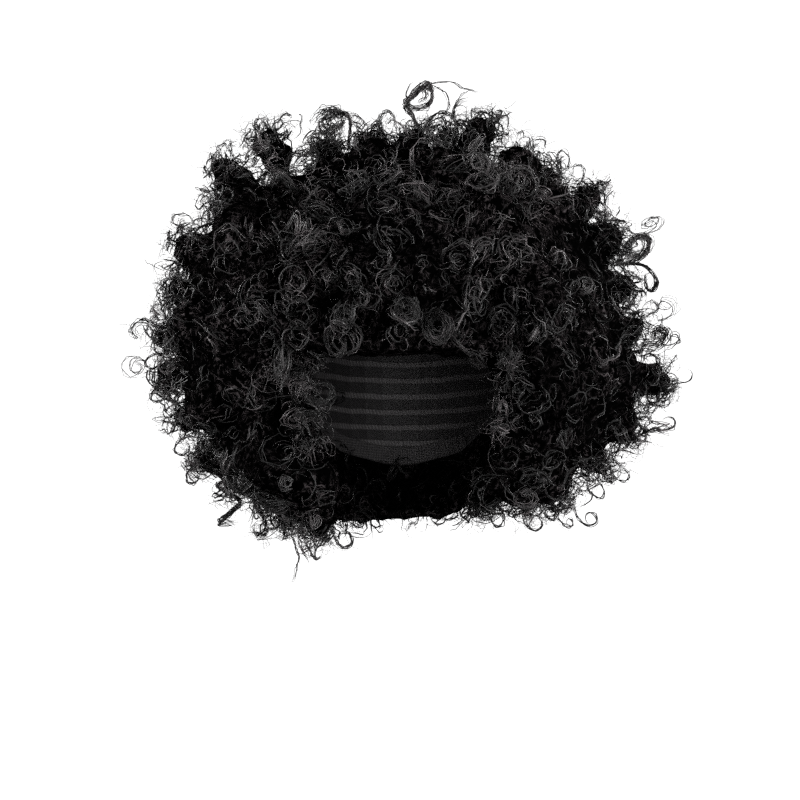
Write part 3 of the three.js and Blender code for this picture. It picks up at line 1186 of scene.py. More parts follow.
class FibreMesh:
    """Closed tubes round many fibres or locks, joined in one mesh."""

    def __init__(self, sides: int = 3, flatness: float = 1.0) -> None:
        """Starts with no fibres.

        Args:
            sides: the sides of each tube.
            flatness: the thickness of a tube as a share of its width.
        """
        self.sides = sides
        self.flatness = flatness
        self.bundles: list[FibreBundle] = []

    def add(self, bundle: FibreBundle) -> FibreBundle:
        """Adds a bundle and returns it."""
        self.bundles.append(bundle)
        return bundle

    def cost(self, points: int) -> int:
        """The triangles of one tube with that many points along it."""
        return 2 * self.sides * (points - 1) + 2 * (self.sides - 2)

    def tube(self, bundle: FibreBundle) -> tuple[Array, Array, Array]:
        """Tubes round one bundle's fibres.

        Args:
            bundle: the fibres.

        Returns:
            The points, the four-sided faces and the ends.
        """
        line = bundle.line
        count, points = line.shape[:2]
        heading = unit(np.gradient(line, axis=1))
        side = np.empty_like(line)
        side[:, 0], _ = across(heading[:, 0], np.roll(heading[:, 0], 1, axis=-1) + 0.21)
        for step in range(1, points):
            carried = side[:, step - 1]
            side[:, step] = unit(carried - dot(carried, heading[:, step]) * heading[:, step])
        other = np.cross(heading, side) * self.flatness
        angle = np.arange(self.sides) * (2 * math.pi / self.sides)
        ring = side[:, :, None] * np.cos(angle)[:, None] + other[:, :, None] * np.sin(angle)[:, None]
        wall = line[:, :, None] + ring * bundle.half[:, :, None, None]
        index = np.arange(count * points * self.sides).reshape(count, points, self.sides)
        here, ahead = index[:, :-1], index[:, 1:]
        quads = np.stack([here, np.roll(here, -1, axis=2), np.roll(ahead, -1, axis=2), ahead], axis=-1)
        roots, tips = index[:, 0, ::-1], index[:, -1]
        return wall.reshape(-1, 3), quads.reshape(-1, 4), np.concatenate([roots, tips])

    def grain(self, bundle: FibreBundle) -> tuple[Array, Array]:
        """How far round and along its tube each face corner lies, with the tube's own number.

        Args:
            bundle: the fibres.

        Returns:
            Three numbers for each corner of the four-sided faces, and of the ends.
        """
        count, points = bundle.line.shape[:2]
        steps = np.linalg.norm(np.diff(bundle.line, axis=1), axis=-1)
        far = np.concatenate([np.zeros((count, 1)), np.cumsum(steps, axis=1)], axis=1)
        girth = bundle.half.max(axis=1) * (2 * math.pi / self.sides)
        place = np.arange(self.sides)[:, None] + np.array((0, 1, 1, 0))
        whole = np.empty((count, points - 1, self.sides, 4, 3))
        whole[..., 0] = girth[:, None, None, None] * place
        whole[..., 1] = np.stack([far[:, :-1], far[:, :-1], far[:, 1:], far[:, 1:]], axis=-1)[:, :, None]
        whole[..., 2] = np.arange(count)[:, None, None, None] * 1.7
        return whole.reshape(-1, 3), np.zeros((2 * count * self.sides, 3))

    def build(self, name: str, material: bpy.types.Material) -> bpy.types.Object:
        """Joins all tubes into one object.

        Args:
            name: the piece's name.
            material: its finish.

        Returns:
            The piece.
        """
        points, quads, ends, shades, tones, grains, end_grains = [], [], [], [], [], [], []
        start = 0
        for bundle in self.bundles:
            wall, four, three = self.tube(bundle)
            long_grain, end_grain = self.grain(bundle)
            points.append(wall)
            quads.append(four + start)
            ends.append(three + start)
            grains.append(long_grain)
            end_grains.append(end_grain)
            shades.append(np.repeat(bundle.shade.ravel(), self.sides))
            tones.append(np.repeat(np.repeat(bundle.tone, bundle.line.shape[1]), self.sides))
            start += len(wall)
        place = np.concatenate(points)
        four, end = np.concatenate(quads), np.concatenate(ends)
        mesh = bpy.data.meshes.new(name)
        mesh.vertices.add(len(place))
        mesh.vertices.foreach_set("co", place.astype(np.float32).ravel())
        mesh.loops.add(four.size + end.size)
        mesh.loops.foreach_set("vertex_index", np.concatenate([four.ravel(), end.ravel()]).astype(np.int32))
        mesh.polygons.add(len(four) + len(end))
        starts = np.concatenate([np.arange(len(four)) * 4, four.size + np.arange(len(end)) * self.sides])
        mesh.polygons.foreach_set("loop_start", starts.astype(np.int32))
        mesh.update(calc_edges=True)
        mesh.polygons.foreach_set("use_smooth", np.ones(len(mesh.polygons), bool))
        write_number(mesh, "shade", np.concatenate(shades))
        write_number(mesh, "tone", np.concatenate(tones))
        layer = mesh.attributes.new("grain", "FLOAT_VECTOR", "CORNER")
        layer.data.foreach_set("vector", np.concatenate(grains + end_grains).astype(np.float32).ravel())
        mesh.materials.append(material)
        return linked(name, mesh)


def wobble(rng: np.random.Generator, count: int, distance: Array, reach: float, wave: float) -> Array:
    """Random sideways sway along fibres.

    Args:
        rng: random numbers.
        count: how many fibres.
        distance: how far along its fibre each point lies.
        reach: the sway's size.
        wave: its usual wavelength.

    Returns:
        A sway for each point.
    """
    total = np.zeros_like(distance)
    for scale in (1.0, 0.55):
        length = wave * scale * rng.uniform(0.7, 1.4, (count, 1))
        start = rng.uniform(0, 2 * math.pi, (count, 1))
        total += scale * np.sin(2 * math.pi * distance / length + start)
    return total * reach * rng.uniform(0.3, 1.3, (count, 1))


def sway3(rng: np.random.Generator, line: Array, reach: float, wave: float) -> Array:
    """Sways lines at random in all three ways.

    Args:
        rng: random numbers.
        line: the lines.
        reach: the sway's size.
        wave: its usual wavelength.

    Returns:
        The lines, swayed.
    """
    count = len(line)
    steps = np.linalg.norm(np.diff(line, axis=1), axis=-1)
    far = np.concatenate([np.zeros((count, 1)), np.cumsum(steps, axis=1)], axis=1)
    return line + np.stack([wobble(rng, count, far, reach, wave) for _ in range(3)], axis=-1)


@dataclass
class LockCurls:
    """Locks of many hairs that wind into open curls round the clusters."""

    points: int = 9
    thinnest: float = 0.7 * MM
    thickest: float = 2.3 * MM
    full_size: float = 13 * MM
    shortest: float = 1.6
    longest: float = 4.4
    disorder: float = 0.24
    sway: float = 0.7 * MM
    wave: float = 15 * MM

    def lay(self, rng: np.random.Generator, clusters: Clusters, each: Array) -> FibreBundle:
        """Winds locks about each cluster.

        Args:
            rng: random numbers.
            clusters: the clusters.
            each: how many locks each cluster gets.

        Returns:
            The locks.
        """
        owner = np.repeat(np.arange(len(clusters)), each)
        count = len(owner)
        size = clusters.radius[owner][:, None]
        out = clusters.outward[owner]
        axis = unit(clusters.axis[owner] + rng.normal(0, self.disorder, (count, 3)))
        first, second = across(axis, out)
        middle = clusters.centre[owner] + rng.normal(0, 0.15, (count, 3)) * size
        middle = middle + out * size * rng.uniform(-0.1, 0.4, (count, 1))
        radius = size * rng.uniform(0.30, 1.05, (count, 1))
        grow = rng.uniform(-0.40, 0.15, (count, 1))
        hand = np.where(rng.random((count, 1)) < 0.5, -1, 1)
        span = rng.uniform(self.shortest, self.longest, (count, 1))
        start = rng.uniform(-math.pi, math.pi, (count, 1))
        run = np.linspace(0, 1, self.points)[None]
        turn = start + hand * span * run
        reach = radius * (1 + grow * run)
        climb = size * rng.normal(0, 0.4, (count, 1)) * (run - 0.5)
        ring = first[:, None] * np.cos(turn)[..., None] + second[:, None] * np.sin(turn)[..., None]
        line = middle[:, None] + axis[:, None] * climb[..., None] + reach[..., None] * ring
        line = sway3(rng, line, self.sway, self.wave)
        fullness = np.clip(size[:, 0] / self.full_size, 0.2, 1) * (self.thickest - self.thinnest)
        width = self.thinnest + fullness * rng.random(count) ** 1.5
        # painted shade: the lock is painted darker deep in its cluster and lighter at its crest
        height = clusters.height(line, owner)
        return grown(rng, line, width, height, 0.5, 0.12)


@dataclass
class CompanionFibres:
    """Fine fibres that run with a lock and have come away from it a little."""

    points: int = 7
    thinnest: float = 0.40 * MM
    thickest: float = 0.85 * MM
    stray: float = 1.1 * MM
    sway: float = 0.7 * MM
    wave: float = 12 * MM

    def lay(self, rng: np.random.Generator, locks: FibreBundle, wanted: int) -> FibreBundle:
        """Lays fibres beside parts of the locks.

        Args:
            rng: random numbers.
            locks: the locks.
            wanted: how many fibres.

        Returns:
            The fibres.
        """
        owner = rng.integers(0, len(locks.line), wanted)
        begin = rng.integers(0, locks.line.shape[1] - self.points + 1, wanted)
        step = begin[:, None] + np.arange(self.points)
        line = locks.line[owner[:, None], step]
        middle = line.mean(axis=1, keepdims=True)
        swell = rng.uniform(0.92, 1.28, (wanted, 1, 1))
        line = middle + (line - middle) * swell + rng.normal(0, self.stray, (wanted, 1, 3))
        line = sway3(rng, line, self.sway, self.wave)
        width = rng.uniform(self.thinnest, self.thickest, wanted)
        shade = locks.shade[owner[:, None], step]
        return grown(rng, line, width, shade, 0.5, 0.25)


@dataclass
class TipCurls:
    """Small loose curls whose tips stand clear of the hair and end in a loop."""

    points: int = 15
    hairs: int = 5
    thinnest: float = 0.35 * MM
    thickest: float = 0.80 * MM
    tightest: float = 3.4 * MM
    widest: float = 6.4 * MM
    body: float = 0.6 * MM
    stem: float = 0.16

    def lay(self, rng: np.random.Generator, clusters: Clusters, count: int) -> FibreBundle:
        """Grows curls from random clusters.

        Args:
            rng: random numbers.
            clusters: where they grow.
            count: how many.

        Returns:
            The fibres of all curls.
        """
        chance = clusters.crest**2
        picked = rng.choice(len(clusters), count, p=chance / chance.sum())
        out = clusters.outward[picked]
        way = unit(out + rng.normal(0, 0.35, (count, 3)))
        side, _ = across(way, rng.normal(size=(count, 3)))
        loop = rng.uniform(self.tightest, self.widest, (count, 1))
        turns = rng.uniform(0.9, 1.8, (count, 1))
        length = 2 * math.pi * loop * turns / (1 - self.stem)
        run = np.linspace(0, 1, self.points)[None]
        bend = np.clip((run - self.stem) / (1 - self.stem), 0, 1)
        heading = 2 * math.pi * turns * (0.35 * bend**2 + 0.65 * bend)
        step = length / (self.points - 1)
        forward = way[:, None] * np.cos(heading)[..., None] + side[:, None] * np.sin(heading)[..., None]
        drift = np.cross(way, side)[:, None] * rng.uniform(-0.25, 0.25, (count, 1, 1))
        line = np.cumsum((forward + drift) * step[..., None], axis=1)
        total = count * self.hairs
        line = np.repeat(line, self.hairs, axis=0) * rng.uniform(0.75, 1.25, (total, 1, 1))
        root = clusters.centre[picked] + way * clusters.radius[picked][:, None] * 0.4
        line = line + np.repeat(root, self.hairs, axis=0)[:, None] + rng.normal(0, self.body, (total, 1, 3))
        line = sway3(rng, line, 0.6 * MM, 13 * MM)
        width = rng.uniform(self.thinnest, self.thickest, total)
        shade = np.full((total, self.points), 0.8)
        return grown(rng, line, width, shade, 0.9)


@dataclass
class FuzzFibres:
    """Short, very fine hairs that stand off the curls and make the hair's soft edge."""

    points: int = 5
    thinnest: float = 0.17 * MM
    thickest: float = 0.44 * MM
    tightest: float = 2.4 * MM
    widest: float = 8.0 * MM
    shortest: float = 6 * MM
    longest: float = 20 * MM
    most_turn: float = 3.6

    def lay(self, rng: np.random.Generator, clusters: Clusters, each: Array) -> FibreBundle:
        """Grows bent hairs from the open side of each cluster.

        Args:
            rng: random numbers.
            clusters: where they grow.
            each: how many each cluster gets.

        Returns:
            The hairs.
        """
        owner = np.repeat(np.arange(len(clusters)), each)
        count = len(owner)
        out = clusters.outward[owner]
        way = unit(out + rng.normal(0, 0.7, (count, 3)))
        out_share = rng.uniform(0.55, 1.0, (count, 1))
        root = clusters.centre[owner] + way * clusters.radius[owner][:, None] * out_share
        start = unit(way + rng.normal(0, 0.9, (count, 3)))
        side, _ = across(start, rng.normal(size=(count, 3)))
        bend = rng.uniform(self.tightest, self.widest, (count, 1))
        length = rng.uniform(self.shortest, self.longest, (count, 1))
        run = np.linspace(0, 1, self.points)[None]
        whole_turn = np.minimum(length / bend, self.most_turn)
        turn = whole_turn * run
        radius = length / whole_turn
        line = (
            root[:, None]
            + start[:, None] * (radius * np.sin(turn))[..., None]
            + side[:, None] * (radius * (1 - np.cos(turn)))[..., None]
            + np.cross(start, side)[:, None] * (rng.normal(0, 0.35, (count, 1)) * length * run)[..., None]
        )
        width = rng.uniform(self.thinnest, self.thickest, count)
        # painted shade: the hair is painted darker deep in its cluster and lighter at its crest
        height = clusters.height(line, owner)
        return grown(rng, line, width, height, 0.9, 0.2)


@dataclass
class SectionHair:
    """The locks and the fine fibres of one section, within its shares of triangles."""

    section: HairSection
    lock_triangles: int
    fibre_triangles: int
    companion_share: float = 0.40
    tip_share: float = 0.06
    edge_fuzz: float = 3.0
    hem_share: float = 0.9
    edge_share: float = 0.5
    front_inside: float = 0.45
    back_inside: float = 0.15
    inside_fuzz: float = 0.3
    size_power: float = 1.2
    crease_share: float = 0.40

    def build(
        self, lock_finish: bpy.types.Material, fibre_finish: bpy.types.Material
    ) -> tuple[bpy.types.Object, ...]:
        """Lays the section's locks and fibres.

        Args:
            lock_finish: the locks' material.
            fibre_finish: the fibres' material.

        Returns:
            The two pieces.
        """
        clusters = self.section.clusters
        rng = np.random.default_rng(self.section.seed + 500)
        sideways, upright = clusters.outward[:, 1], clusters.outward[:, 2]
        open_side = (clusters.outward * unit(clusters.centre - HEAD_MIDDLE)).sum(1) > -0.1
        seen = np.where(sideways < self.section.plan.facing_front, self.front_inside, self.back_inside)
        hanging = 1 + self.hem_share * (upright < -0.45)
        edge = 1 + self.edge_share * (1 - np.abs(sideways)) ** 2
        weight = clusters.radius**self.size_power * (self.crease_share + clusters.crest)
        weight = weight * np.where(open_side, 1.0, seen) * hanging * edge * clusters.share
        weight = weight / weight.sum()
        lock_mesh = FibreMesh(3, 0.5)
        kind = LockCurls()
        wanted = weight * (self.lock_triangles / lock_mesh.cost(kind.points))
        each = np.floor(wanted + rng.random(len(wanted))).astype(int)
        locks = lock_mesh.add(kind.lay(rng, clusters, each))
        fibre_mesh = FibreMesh()
        beside = CompanionFibres()
        count = int(self.fibre_triangles * self.companion_share / fibre_mesh.cost(beside.points))
        fibre_mesh.add(beside.lay(rng, locks, count))
        tips = TipCurls()
        count = int(self.fibre_triangles * self.tip_share / fibre_mesh.cost(tips.points) / tips.hairs)
        fibre_mesh.add(tips.lay(rng, clusters, count))
        fuzz = FuzzFibres()
        rest = 1 - self.companion_share - self.tip_share
        standing = 1 + self.edge_fuzz * (1 - np.abs(sideways)) ** 2
        standing = standing * np.where(open_side, 1.0, self.inside_fuzz)
        standing = weight * standing / (weight * standing).sum()
        wanted = standing * (self.fibre_triangles * rest / fibre_mesh.cost(fuzz.points))
        each = np.floor(wanted + rng.random(len(wanted))).astype(int)
        fibre_mesh.add(fuzz.lay(rng, clusters, each))
        name = self.section.short_name
        LOG.info("%s: %d clusters, %d locks", name, len(clusters), len(locks.line))
        locks_piece = lock_mesh.build(f"{name}_locks", lock_finish)
        return locks_piece, fibre_mesh.build(f"{name}_fibres", fibre_finish)


# Loose curls

@dataclass(frozen=True)
class LooseRing:
    """A lock that ends in an open ring: the ring's middle and radius in millimetres, and the way it comes.

    Root is the angle that it comes from, lean how far the ring leans out of its plane, body the bundle's
    thickness and fill how far its hairs fill the ring.
    """

    x: float
    z: float
    radius: float
    root: float
    stem: float
    turns: float
    hairs: int
    depth: float = 0.0
    body: float = 0.8
    fill: float = 0.14
    lean: float = 34.0

    def middle(self, depth: float) -> Array:
        """The ring's middle, in metres."""
        return placed(np.array((self.x, depth, self.z)))

    def path(self, points: int, depth: float) -> Array:
        """The lock's middle line, from its root in the hair round the ring, which leans out of its plane.

        Args:
            points: how many points it has.
            depth: its y, in millimetres.

        Returns:
            The points, in metres.
        """
        run = np.linspace(0, 1, points)
        angle = 2 * math.pi * self.turns * run
        reach = self.radius + self.stem * np.clip(1 - 3.2 * run, 0, 1) ** 2 - 0.2 * self.radius * run
        along, beside = reach * np.cos(angle), reach * np.sin(angle)
        root, lean = math.radians(self.root), math.radians(self.lean)
        x = self.x + along * math.cos(root) - beside * math.cos(lean) * math.sin(root)
        z = self.z + along * math.sin(root) + beside * math.cos(lean) * math.cos(root)
        away = depth + beside * math.sin(lean) + 0.5 * self.radius * (run - 0.5)
        return placed(np.stack([x, away, z], axis=-1))


@dataclass(frozen=True)
class LooseLock:
    """A lock that follows its own way: the places that it passes, as x and z in millimetres."""

    places: tuple[tuple[float, float], ...]
    hairs: int
    depth: float = 0.0
    body: float = 0.8
    fill: float = 0.04

    def middle(self, depth: float) -> Array:
        """The lock's root, in metres."""
        return placed(np.array((self.places[0][0], depth, self.places[0][1])))

    def path(self, points: int, depth: float) -> Array:
        """The lock's middle line, eased through its places, which winds in depth as well.

        Args:
            points: how many points it has.
            depth: its y, in millimetres.

        Returns:
            The points, in metres.
        """
        known = np.array(self.places, float)
        known = np.concatenate([2 * known[:1] - known[1:2], known, 2 * known[-1:] - known[-2:-1]])
        at = np.linspace(0, len(self.places) - 1 - 1e-6, points)
        cell = at.astype(int)
        part = (at - cell)[:, None]
        p0, p1, p2, p3 = (known[cell + step] for step in range(4))
        square = (2 * p0 - 5 * p1 + 4 * p2 - p3) * part**2
        eased = 0.5 * (2 * p1 + (p2 - p0) * part + square + (3 * p1 - p0 - 3 * p2 + p3) * part**3)
        away = depth + 4 * np.sin(at * math.pi / 2)
        return placed(np.stack([eased[:, 0], away, eased[:, 1]], axis=-1))


LOOSE_CURLS = (
    LooseRing(122, 62, 5, -100, 12, 1.3, 4),
    LooseRing(134, 50, 7, -110, 8, 1.0, 5),
    LooseRing(-169, 13, 6, -30, 12, 1.3, 5),
    LooseRing(179, -6, 11, 215, 10, 1.5, 34, body=2.8, fill=0.30, lean=50),
    LooseRing(190, -52, 6, 190, 14, 1.1, 6),
    LooseRing(197, -73, 6, 185, 22, 1.5, 26, body=2.6, fill=0.6),
    LooseRing(208, -76, 4, 185, 12, 1.3, 6, body=1.2, fill=0.4),
    LooseRing(215, -104, 7, 180, 18, 0.8, 3, body=0.4),
    LooseRing(203, -140, 6, 170, 24, 1.0, 5),
    LooseRing(169, -180, 6, 120, 12, 1.3, 5),
    LooseRing(150, -192, 6, 110, 12, 1.3, 5),
    LooseRing(74, -214, 6, 90, 14, 1.3, 7),
    LooseRing(102, -216, 7, 100, 14, 1.4, 8),
    LooseRing(115, -210, 5, 90, 12, 1.3, 6),
    LooseRing(128, -216, 3.5, 100, 18, 1.4, 4),
    LooseRing(144, -213, 6, 110, 20, 1.5, 6),
    LooseRing(-63, -241, 4, 70, 10, 1.0, 4),
    LooseRing(-190, -95, 6, 0, 14, 1.2, 5),
    LooseRing(-185, -120, 6, 10, 12, 1.3, 5),
    LooseRing(-166, -160, 7, 20, 12, 1.3, 6),
    LooseRing(-158, -182, 6, 40, 12, 1.3, 5),
    LooseRing(-49, -82, 8, 100, 8, 1.2, 9, depth=-128, body=1.4),
    LooseRing(-60, -117, 11, 160, 10, 1.1, 10, depth=-114, body=1.8, fill=0.3),
    LooseRing(28, -67, 13, 90, 4, 1.4, 16, depth=-144, body=2.0, fill=0.6),
    LooseRing(-43, -61, 10, 90, 4, 1.4, 14, depth=-142, body=1.6, fill=0.6),
    LooseRing(5, -55, 10, 90, 4, 1.4, 14, depth=-146, body=1.6, fill=0.6),
    LooseRing(44, 2, 8, 240, 16, 1.4, 9, depth=158, lean=70),
    LooseRing(-42, -229, 7, 90, 22, 1.3, 9, depth=96),
    LooseLock(((-40, 64), (-40, 74), (-39, 83), (-39, 90), (-42, 95), (-46, 96), (-51, 94), (-56, 90)), 14),
    LooseLock(((-42, 91), (-46, 96), (-53, 98), (-60, 96), (-64, 91), (-66, 86)), 26, body=3.0, fill=0.3),
    LooseLock(
        ((-43, 92), (-45, 87), (-50, 83), (-57, 82), (-61, 85), (-60, 90), (-54, 93), (-49, 91), (-50, 87)),
        30,
        body=2.2, fill=0.4,
    ),
    LooseLock(((-48, 86), (-52, 80), (-57, 76), (-58, 71), (-54, 64), (-51, 58)), 12, body=1.2),
    LooseLock(
        ((18, 70), (18, 76), (15, 82), (11, 89), (8, 95), (4, 99), (3, 103), (7, 107), (11, 111), (16, 116),
         (21, 117), (24, 112), (24, 106), (20, 101), (15, 99), (9, 99), (5, 102), (8, 107), (12, 112),
         (17, 116), (21, 116)), 26, depth=-8, body=1.1,
    ),
    LooseLock(
        ((8, 106), (11, 109), (14, 113), (18, 114), (19, 109), (17, 105), (13, 103), (10, 106)), 9, depth=-8,
        body=1.4, fill=0.2,
    ),
    LooseLock(((7, 105), (4, 108), (5, 114), (8, 118), (12, 120)), 3, depth=-8, body=0.4),
    LooseLock(
        ((22, 116), (27, 115), (33, 111), (36, 105), (36, 99), (32, 93), (26, 88)), 4, depth=-6, body=0.5
    ),
    LooseLock(
        ((20, 117), (27, 118), (33, 119), (41, 118), (47, 114), (55, 112), (61, 110)), 3, depth=-6, body=0.4
    ),
    LooseLock(((38, 82), (38, 92), (42, 104), (49, 111), (57, 113), (64, 108)), 3, depth=-4, body=0.4),
    LooseLock(
        ((44, 80), (41, 88), (40, 95), (41, 100), (45, 104), (51, 106), (56, 105)), 8, depth=-4, body=0.7
    ),
    LooseLock(((18, 80), (20, 86), (23, 91), (29, 95), (36, 95), (41, 91), (44, 86)), 14, depth=4, body=1.8),
    LooseLock(((66, 78), (70, 87), (74, 93), (78, 100)), 7, depth=2, body=0.7),
    LooseLock(((-17, 78), (-16, 90), (-13, 95), (-8, 95), (-5, 89), (-4, 78)), 9, body=1.3),
    LooseLock(((-88, 58), (-80, 66), (-72, 64), (-64, 70), (-58, 66)), 8, body=2.2),
    LooseLock(((-92, 50), (-82, 54), (-74, 50), (-66, 56)), 6, body=2.2),
    LooseLock(
        ((158, -20), (170, -19), (183, -20), (192, -27), (194, -35), (190, -41), (186, -36), (186, -29),
         (190, -26), (193, -31)), 12, body=0.8,
    ),
    LooseLock(
        ((-158, -76), (-172, -66), (-184, -68), (-188, -77), (-181, -81), (-185, -68), (-197, -62),
         (-205, -70), (-199, -77), (-206, -67), (-213, -66)), 12, body=1.4,
    ),
    LooseLock(
        ((-118, -180), (-130, -183), (-140, -188), (-132, -194), (-124, -198), (-122, -202), (-126, -206),
         (-134, -213), (-139, -217), (-133, -217), (-126, -218), (-121, -221)), 30, body=0.9,
    ),
    LooseLock(
        ((-134, -186), (-122, -190), (-114, -197), (-107, -206), (-103, -216), (-102, -221), (-104, -226),
         (-110, -226), (-112, -222), (-108, -218), (-103, -219)), 16, body=0.8,
    ),
    LooseLock(((-94, -212), (-93, -219), (-88, -222), (-87, -227), (-92, -229), (-98, -226)), 7, body=0.7),
    LooseLock(((-85, -222), (-82, -229), (-79, -237), (-78, -247), (-81, -257), (-84, -265)), 6, body=0.8),
    LooseLock(((-78, -228), (-76, -236), (-72, -242), (-69, -248)), 7, body=0.7),
    LooseLock(((-72, -232), (-69, -238), (-67, -242), (-63, -244), (-59, -243)), 7, body=0.7),
    LooseLock(((50, -194), (52, -208), (49, -218)), 7, body=1.6),
    LooseLock(((37, -74), (48, -85), (60, -90), (66, -99)), 6, depth=-132, body=2.0),
    LooseLock(((52, -72), (62, -85), (70, -89)), 6, depth=-126, body=2.0),
)


@dataclass
class LooseCurls:
    """The curls that have come away from the hair, each a small bundle of fibres."""

    points: int = 22
    spread: float = 26.0
    thinnest: float = 0.35 * MM
    thickest: float = 0.95 * MM
    sway: float = 0.9 * MM
    wave: float = 15 * MM
    shade: float = 0.75

    def build(self, material: bpy.types.Material) -> bpy.types.Object:
        """Lays all of them.

        Args:
            material: their finish.

        Returns:
            The piece.
        """
        rng = np.random.default_rng(SEED + 900)
        mesh = FibreMesh()
        for curl in LOOSE_CURLS:
            depth = curl.depth if curl.depth else rng.uniform(-self.spread, self.spread)
            way = curl.path(4 * self.points, depth)
            first = rng.uniform(0, 0.12, (curl.hairs, 1))
            last = rng.uniform(0.70, 1.0, (curl.hairs, 1))
            at = (first + (last - first) * np.linspace(0, 1, self.points)) * (len(way) - 1)
            low = np.minimum(at.astype(int), len(way) - 2)
            line = way[low] + (way[low + 1] - way[low]) * (at - low)[..., None]
            middle = curl.middle(depth)
            scale = rng.uniform(1 - curl.fill, 1 + 0.3 * curl.fill, (curl.hairs, 1, 1))
            line = middle + (line - middle) * scale * rng.uniform(0.95, 1.05, (curl.hairs, 1, 3))
            line = line + rng.normal(0, 0.5 * curl.body * MM, (curl.hairs, 1, 3))
            line = sway3(rng, line, self.sway * min(1.0, curl.body), self.wave)
            width = rng.uniform(self.thinnest, self.thickest, curl.hairs)
            mesh.add(grown(rng, line, width, np.full(line.shape[:2], self.shade), 0.8))
        return mesh.build("loose_curls", material)


# Studio

@dataclass
class SoftBox:
    """One soft lamp, placed round the head's middle."""

    name: str
    azimuth: float
    elevation: float
    power: float
    size: float
    distance: float = 2.3

    def hang(self) -> None:
        """Adds the lamp, turned to the hair."""
        azimuth, elevation = math.radians(self.azimuth), math.radians(self.elevation)
        way = Vector((
            math.sin(azimuth) * math.cos(elevation),
            -math.cos(azimuth) * math.cos(elevation),
            math.sin(elevation),
        ))
        lamp = bpy.data.lights.new(self.name, "AREA")
        lamp.shape = "DISK"
        lamp.size = self.size
        lamp.energy = self.power
        holder = linked(self.name, lamp)
        holder.location = Vector(HEAD_MIDDLE) + way * self.distance
        holder.rotation_euler = way.to_track_quat("Z", "Y").to_euler()
        holder.visible_camera = False


@dataclass
class Studio:
    """The camera, the pale sweep and the lamps."""

    distance: float = 1.8
    view_width: float = 0.608
    view_height: float = -0.123
    view_side: float = -0.0008
    floor: float = -1.0
    floor_radius: float = 3.0
    wall_radius: float = 4.0
    wall_top: float = 4.0
    bend_steps: int = 12
    turn_steps: int = 64
    air_light: float = 0.10
    sensor: float = 36.0

    def camera(self) -> None:
        """Sets up the camera level with the face, as far off as the photo's."""
        lens = bpy.data.cameras.new("camera")
        lens.sensor_width = self.sensor
        lens.lens = self.sensor * self.distance / self.view_width
        lens.clip_end = 30
        holder = linked("camera", lens)
        holder.location = (self.view_side, -self.distance, self.view_height)
        holder.rotation_euler = (math.radians(90), 0, 0)
        bpy.context.scene.camera = holder

    def sweep(self) -> None:
        """Spins the floor and wall of the sweep from one profile."""
        bend = self.wall_radius - self.floor_radius
        profile = [(0.0, self.floor)]
        for step in range(self.bend_steps + 1):
            angle = math.radians(90 * step / self.bend_steps)
            reach = self.floor_radius + bend * math.sin(angle)
            profile.append((reach, self.floor + bend * (1 - math.cos(angle))))
        profile.append((self.wall_radius, self.wall_top))
        mesh = bpy.data.meshes.new("sweep")
        edges = [(i, i + 1) for i in range(len(profile) - 1)]
        mesh.from_pydata([(reach, 0, height) for reach, height in profile], edges, [])
        sweep = linked("studio_floor", mesh)
        choose(sweep)
        bpy.ops.object.mode_set(mode="EDIT")
        bpy.ops.mesh.select_all(action="SELECT")
        bpy.ops.mesh.spin(steps=self.turn_steps, angle=2 * math.pi, center=(0, 0, 0), axis=(0, 0, 1))
        bpy.ops.mesh.select_all(action="SELECT")
        bpy.ops.mesh.remove_doubles(threshold=1 * MM)
        bpy.ops.mesh.normals_make_consistent(inside=True)
        bpy.ops.object.mode_set(mode="OBJECT")
        bpy.ops.object.shade_smooth()
        sweep.data.materials.append(SweepFinish().make())
        for kind in ("diffuse", "glossy", "shadow"):
            setattr(sweep, f"visible_{kind}", False)

    def light(self) -> None:
        """Hangs the lamps: two at the sides, a weak one in front, an overhead and two from behind."""
        for lamp in (
            SoftBox("key_lamp", 68, 6, 84, 0.8),
            SoftBox("fill_lamp", -68, 6, 72, 0.8),
            SoftBox("front_lamp", 8, -2, 15, 1.2),
            SoftBox("overhead_lamp", 0, 80, 8, 1.1),
            SoftBox("back_left_lamp", 140, 20, 46, 1.2),
            SoftBox("back_right_lamp", -140, 20, 46, 1.2),
        ):
            lamp.hang()
        world = bpy.data.worlds.new("studio_air")
        world.use_nodes = True
        air = world.node_tree.nodes["Background"]
        air.inputs["Color"].default_value = (1, 1, 1, 1)
        air.inputs["Strength"].default_value = self.air_light
        bpy.context.scene.world = world
        bpy.context.scene.view_settings.view_transform = "Standard"
        bpy.context.scene.cycles.use_denoising = False

    def build(self) -> None:
        """Sets up all of it."""
        self.camera()
        self.sweep()
        self.light()


# Cap

@dataclass
class Cap:
    """The net cap and its elastic edge, which keep their CAD forms."""

    net: str = "wig_cap"
    band: str = "cap_edge_band"

    def dress(self) -> None:
        """Gives both pieces their fabrics."""
        for name, finish, slot in (
            (self.net, NetFinish(), Slot.CAP_NET),
            (self.band, ElasticFinish(), Slot.ELASTIC),
        ):
            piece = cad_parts[name]
            piece.data.materials.clear()
            piece.data.materials.append(finish.make())
            LOG.info("%s: dressed", name)


# Each section's triangles: those of its locks and those of its fibres

TRIANGLES = {
    Region.CROWN: (78_000, 86_000),
    Region.FRINGE: (50_000, 56_000),
    Region.LEFT: (88_000, 108_000),
    Region.RIGHT: (88_000, 108_000),
    Region.BACK: (50_000, 58_000),
    Region.NAPE: (42_000, 50_000),
}


def hand_over(piece: bpy.types.Object) -> int:
    """Hands a piece of hair to the frame and logs its triangles.

    Args:
        piece: the piece.

    Returns:
        The number of its triangles.
    """
    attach(piece, BODY)
    piece.data.calc_loop_triangles()
    count = len(piece.data.loop_triangles)
    LOG.info("%s: %d triangles", piece.name, count)
    return count


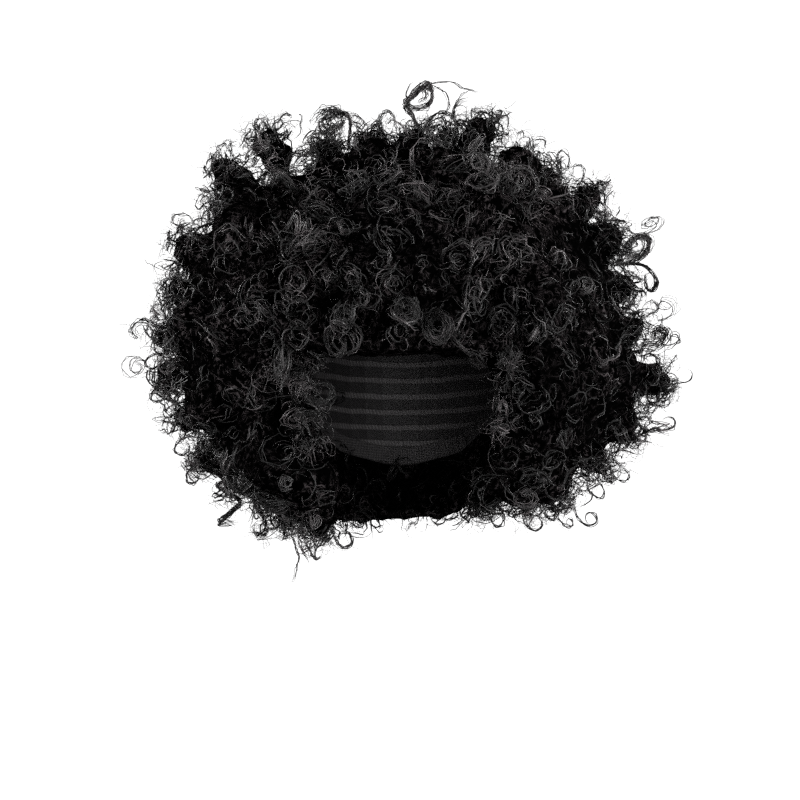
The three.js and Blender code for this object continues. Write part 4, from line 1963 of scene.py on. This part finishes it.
def share_puffs(sections: Sequence[HairSection], whole: BVHTree) -> None:
    """Gives each lump to the section whose base is nearest to it.

    Args:
        sections: the sections, with their bases.
        whole: every section's base and the cap.
    """
    trees = [tree_of([section.base]) for section in sections]

    def nearest(place: Array) -> HairSection:
        """The section that a place is nearest to."""
        return sections[int(np.argmin([tree.find_nearest(Vector(place))[3] for tree in trees]))]

    for place, size in zip(*PuffPlan().spread(whole)):
        nearest(place).puffs.append((place, float(size)))
    for puff in OUTLINE_PUFFS:
        nearest(puff.place()).outline.append((puff.place(), puff.radius * MM))


def share_rosettes(sections: Sequence[HairSection]) -> None:
    """Sets each curl that is seen end on from the front on the form that it meets there.

    Args:
        sections: the sections, with their forms.
    """
    trees = [tree_of([section.form]) for section in sections]
    for x, z, radius in FRONT_ROSETTES:
        hits = [tree.ray_cast(Vector((x * MM, -0.6, z * MM)), Vector((0, 1, 0)), 0.7) for tree in trees]
        depth = [hit[0].y if hit[0] is not None else 9.0 for hit in hits]
        front = int(np.argmin(depth))
        if depth[front] < 1.0:
            place = np.array((x * MM, depth[front] - 0.5 * radius * MM, z * MM))
            sections[front].rosettes.append((place, radius * MM))


def main() -> None:
    """Builds the studio, the cap, each section's mass, locks and fibres, and the loose curls."""
    logging.basicConfig(level=logging.INFO, format="%(message)s")
    Studio().build()
    Cap().dress()
    cap_meshes = [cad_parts[name].data for name in ("wig_cap", "cap_edge_band")]
    cap = tree_of(cap_meshes[:1])
    sections = [HairSection(region, cap, SEED + number) for number, region in enumerate(Region)]
    for section in sections:
        section.make_base()
    share_puffs(sections, tree_of(cap_meshes + [section.base for section in sections]))
    for section in sections:
        section.make_form()
    share_rosettes(sections)
    whole = tree_of(cap_meshes + [section.form for section in sections])
    mass_finish, lock_finish, fibre_finish = MassFinish().make(), LockFinish().make(), FibreFinish().make()
    total = 0
    for section in sections:
        section.plan_clusters(whole)
        mass = section.make_mass(mass_finish)
        pieces = [mass, *SectionHair(section, *TRIANGLES[section.region]).build(lock_finish, fibre_finish)]
        total += sum(hand_over(piece) for piece in pieces)
        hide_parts(section.region.value)
    total += hand_over(LooseCurls().build(lock_finish))
    LOG.info("all hair: %d triangles", total)


if __name__ == "__main__":
    main()
